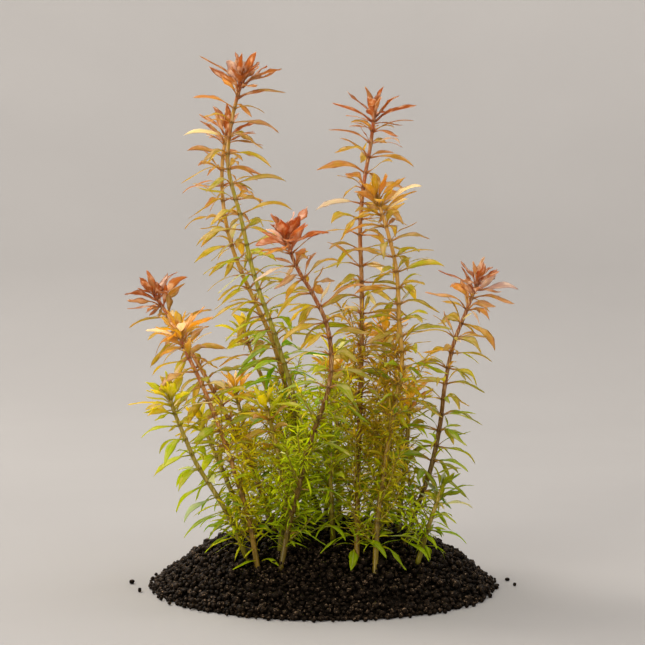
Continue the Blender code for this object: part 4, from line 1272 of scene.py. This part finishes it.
# The heap falls off a little sooner at its right and left end
def endwise(x):
    narrow = soil["narrowRight"] if x > 0 else soil["narrowLeft"]
    return x * (1 - narrow * (x / mound["radius"]) ** 2)


# Four-sided faces between two rings of points
def joinRings(bm, low, high):
    for k in range(len(low)):
        after = (k + 1) % len(low)
        bm.faces.new((low[k], high[k], high[after], low[after]))


# Closed dome under the granules; its upper faces carry them
def makeBed(name):
    bm = bmesh.new()
    upper = bm.verts.layers.float.new("upper")
    edge = mound["radius"] - soil["inset"]
    count = round(edge / soil["grid"])
    centre = bm.verts.new((0, 0, moundHeight(0, 0) - soil["sink"]))
    rings = []
    for ring in range(1, count + 1):
        radius = edge * ring / count
        row = []
        for k in range(soil["spokes"]):
            turn = math.tau * k / soil["spokes"]
            x, y = radius * math.cos(turn), radius * math.sin(turn)
            row.append(bm.verts.new((endwise(x), y, max(soil["rim"], moundHeight(x, y) - soil["sink"]))))
        if rings:
            joinRings(bm, rings[-1], row)
        else:
            for point, after in zip(row, row[1:] + row[:1]):
                bm.faces.new((centre, point, after))
        rings.append(row)
    for vert in bm.verts:
        vert[upper] = 1.0
    foot = [bm.verts.new((vert.co.x * 1.004, vert.co.y * 1.004, 0)) for vert in rings[-1]]
    joinRings(bm, rings[-1], foot)
    bm.faces.new(foot[::-1])
    bmesh.ops.recalc_face_normals(bm, faces=bm.faces)
    bmesh.ops.scale(bm, vec=(mm, mm, mm), verts=bm.verts)
    return endMesh(bm, name, smooth=False)


# Ring just over the floor whose outer edge runs out and in by a little, for the grains at the foot
def makeFootBand(name, radii):
    bm = bmesh.new()
    upper = bm.verts.layers.float.new("upper")
    rows = []
    for radius in radii:
        row = []
        for k in range(soil["footSpokes"]):
            turn = math.tau * k / soil["footSpokes"]
            wave = 1 + 0.6 * math.sin(7 * turn + 0.4) + 0.4 * math.sin(13 * turn + 2.1)
            reach = radius * (1 + (soil["ragged"] * wave if radius == radii[-1] else 0.0))
            row.append(bm.verts.new((endwise(reach * math.cos(turn)) * mm, reach * math.sin(turn) * mm,
                                     soil["footLift"] * mm)))
        rows.append(row)
    for vert in bm.verts:
        vert[upper] = 1.0
    joinRings(bm, *rows)
    return endMesh(bm, name, smooth=False)


grainBlanks = newCollection("grainBlanks")
grainChance = random.Random("granule forms")
for index in range(soil["forms"]):
    grainBlanks.objects.link(makeGrain(f"grain{index}", grainChance))
peat = makeSoilMaterial()
scatterTree = makeScatterTree()
bedMesh = makeBed("soilBed")
bed = newObject("soilBed", bedMesh.copy())
bed.data.materials.append(peat)
for face in bed.data.polygons:
    face.use_smooth = True
setPiece(bed, ["soil_mound"])
for name, layer in layers.items():
    mesh = bedMesh.copy() if layer["on"] == "bed" else makeFootBand(name + "Band", layer["on"])
    values = {key.title(): layer.get(key, 0.0) * mm for key in ("gap", "lift", "lumps", "uneven")}
    smallest, largest = (size * mm for size in layer["sizes"])
    piece = bake(name, mesh, scatterTree, {**values, "Smallest": smallest, "Largest": largest,
                                           "Seed": layer["seed"], "Grains": grainBlanks, "Material": peat})
    setPiece(piece, None)
    print(name, len(piece.data.polygons) * 2, "triangles")

# The granules that rolled off: place on the floor and size
strayGrains = [(-83.8, 0.0, 2.1), (-78.6, -17.8, 1.9), (79.2, 7.0, 1.9), (81.2, -4.6, 1.7)]
for index, (x, y, size) in enumerate(strayGrains):
    grain = makeGrain(f"strayGrain{index + 1}", random.Random(index), cuts=3, size=size * mm)
    bpy.context.scene.collection.objects.link(grain)
    mesh = grain.data
    low = min(vert.co.z for vert in mesh.vertices)
    for vert in mesh.vertices:
        vert.co += Vector((x * mm, y * mm, -low))
    setValues(mesh, "grainTone", "FLOAT", [0.4] * len(mesh.vertices))
    # how far each point faces up, for the painted light on the grains' tops
    setValues(mesh, "topSide", "FLOAT", [vert.normal.z for vert in mesh.vertices])
    mesh.materials.append(peat)
    setPiece(grain, [f"stray_grain_{index + 1}"])
print("soil made")

for group in (leafBlanks, grainBlanks):
    for item in list(group.objects):
        bpy.data.objects.remove(item, do_unlink=True)
    bpy.data.collections.remove(group)


# Studio: pale floor that curves up into the backdrop, soft light from the upper left; the board's tone
# carries painted shade
studio = {"floorRadius": 0.5, "bend": 1.5, "bendSteps": 32, "sides": 72, "wallHeight": 1.7,
          "colour": "#aaa6a2", "floorShade": 0.825, "bendShade": 0.712, "wallShade": 0.856,
          "leftShade": 0.965, "rightShade": 1.02, "bendTop": 0.12, "wallFrom": 0.45, "acrossHalf": 0.5,
          "worldColour": "#f2f2f4", "world": 1.3}


def makeStudio():
    bm = bmesh.new()
    profile = [(0.25, 0.0), (studio["floorRadius"], 0.0)]
    step = studio["bend"] / studio["bendSteps"]
    for k in range(studio["bendSteps"]):
        share = (k + 0.5) / studio["bendSteps"]
        slope = math.pi / 2 * share ** 2 * (3 - 2 * share)
        profile.append((profile[-1][0] + step * math.cos(slope), profile[-1][1] + step * math.sin(slope)))
    profile.append((profile[-1][0], studio["wallHeight"]))
    turns = [math.tau * k / studio["sides"] for k in range(studio["sides"])]
    rows = [[bm.verts.new((radius * math.cos(turn), radius * math.sin(turn), height)) for turn in turns]
            for radius, height in profile]
    bm.faces.new(rows[0])
    for low, high in zip(rows, rows[1:]):
        joinRings(bm, low, high)
    floor = newObject("floor", endMesh(bm, "floor"))
    material, add = newMaterial("paintedBoard")   # matt painted board: even and soft
    place = add("TexCoord", output="Object")
    aside, _, height = add("SeparateXYZ", (place,), output=None)
    grain = add("TexNoise", {"Vector": place, "Scale": 6.0, "Detail": 4.0})
    tone = add("MapRange", (grain, 0.3, 0.7, 0.98, 1.02))
    # painted shade: the board is drawn darker on the floor and the bend than up the wall, and darker at the
    # left
    paintedHeightShade = add("MapRange", (height, 0.0, studio["bendTop"], studio["floorShade"], studio["bendShade"]))
    upper = add("MapRange", (height, studio["bendTop"], studio["wallFrom"], 0.0,
                             studio["wallShade"] - studio["bendShade"]))
    paintedHeightShade = add("Math", (paintedHeightShade, upper), "ADD")
    paintedSideShade = add("MapRange", (aside, -studio["acrossHalf"], studio["acrossHalf"], studio["leftShade"],
                              studio["rightShade"]))
    tone = add("Math", (tone, paintedHeightShade), "MULTIPLY")
    tone = add("Math", (tone, paintedSideShade), "MULTIPLY")
    colour = add("HueSaturation", {"Value": tone, "Color": linear(studio["colour"])})
    board = add("BsdfPrincipled", {"Base Color": colour, "Roughness": 0.7, "Specular IOR Level": 0.25})
    add("OutputMaterial", (board,))
    floor.data.materials.append(material)


# Where each light is and where it points, in metres, its width and its power
middle = (0, 0, 0.1)
lights = {
    "keyLight": {"place": (-0.95, 0.62, 1.25), "target": middle, "size": 1.0, "power": 24.0,
                 "colour": "#fffaf4"},
    "fillLight": {"place": (0.8, -0.8, 0.6), "target": middle, "size": 0.9, "power": 4.0,
                  "colour": "#fbfbff"},
    "frontLight": {"place": (-0.7, -0.95, 0.7), "target": middle, "size": 0.8, "power": 10.5,
                   "colour": "#fffaf2"},
    "wallLight": {"place": (0.3, 0.35, 1.45), "target": (0.15, 1.35, 0.6), "size": 1.0, "power": 7.0,
                  "colour": "#ffffff"},
}


def addLight(name, place, target, size, power, colour):
    data = bpy.data.lights.new(name, "AREA")
    data.shape = "DISK"
    data.size = size
    data.energy = power
    data.color = linear(colour)[:3]
    light = newObject(name, data)
    light.location = place
    light.rotation_euler = (Vector(target) - Vector(place)).to_track_quat("-Z", "Y").to_euler()
    light.visible_camera = False


makeStudio()
for name, light in lights.items():
    addLight(name, **light)
print("studio made")

world = bpy.data.worlds.new("studioAir")
bpy.context.scene.world = world
world.use_nodes = True
sky = world.node_tree.nodes["Background"]
sky.inputs["Color"].default_value = linear(studio["worldColour"])
sky.inputs["Strength"].default_value = studio["world"]

# Camera at the photograph's place: a long lens a little above the clump's middle, looking down
view = {"lens": 100.0, "sensor": 36.0, "place": (-1.4, -768.6, 149.4), "down": 2.696}
lens = bpy.data.cameras.new("camera")
lens.lens = view["lens"]
lens.sensor_width = view["sensor"]
camera = newObject("camera", lens)
camera.location = [c * mm for c in view["place"]]
camera.rotation_euler = (math.radians(90 - view["down"]), 0, 0)
bpy.context.scene.camera = camera
bpy.context.scene.view_settings.view_transform = "Standard"
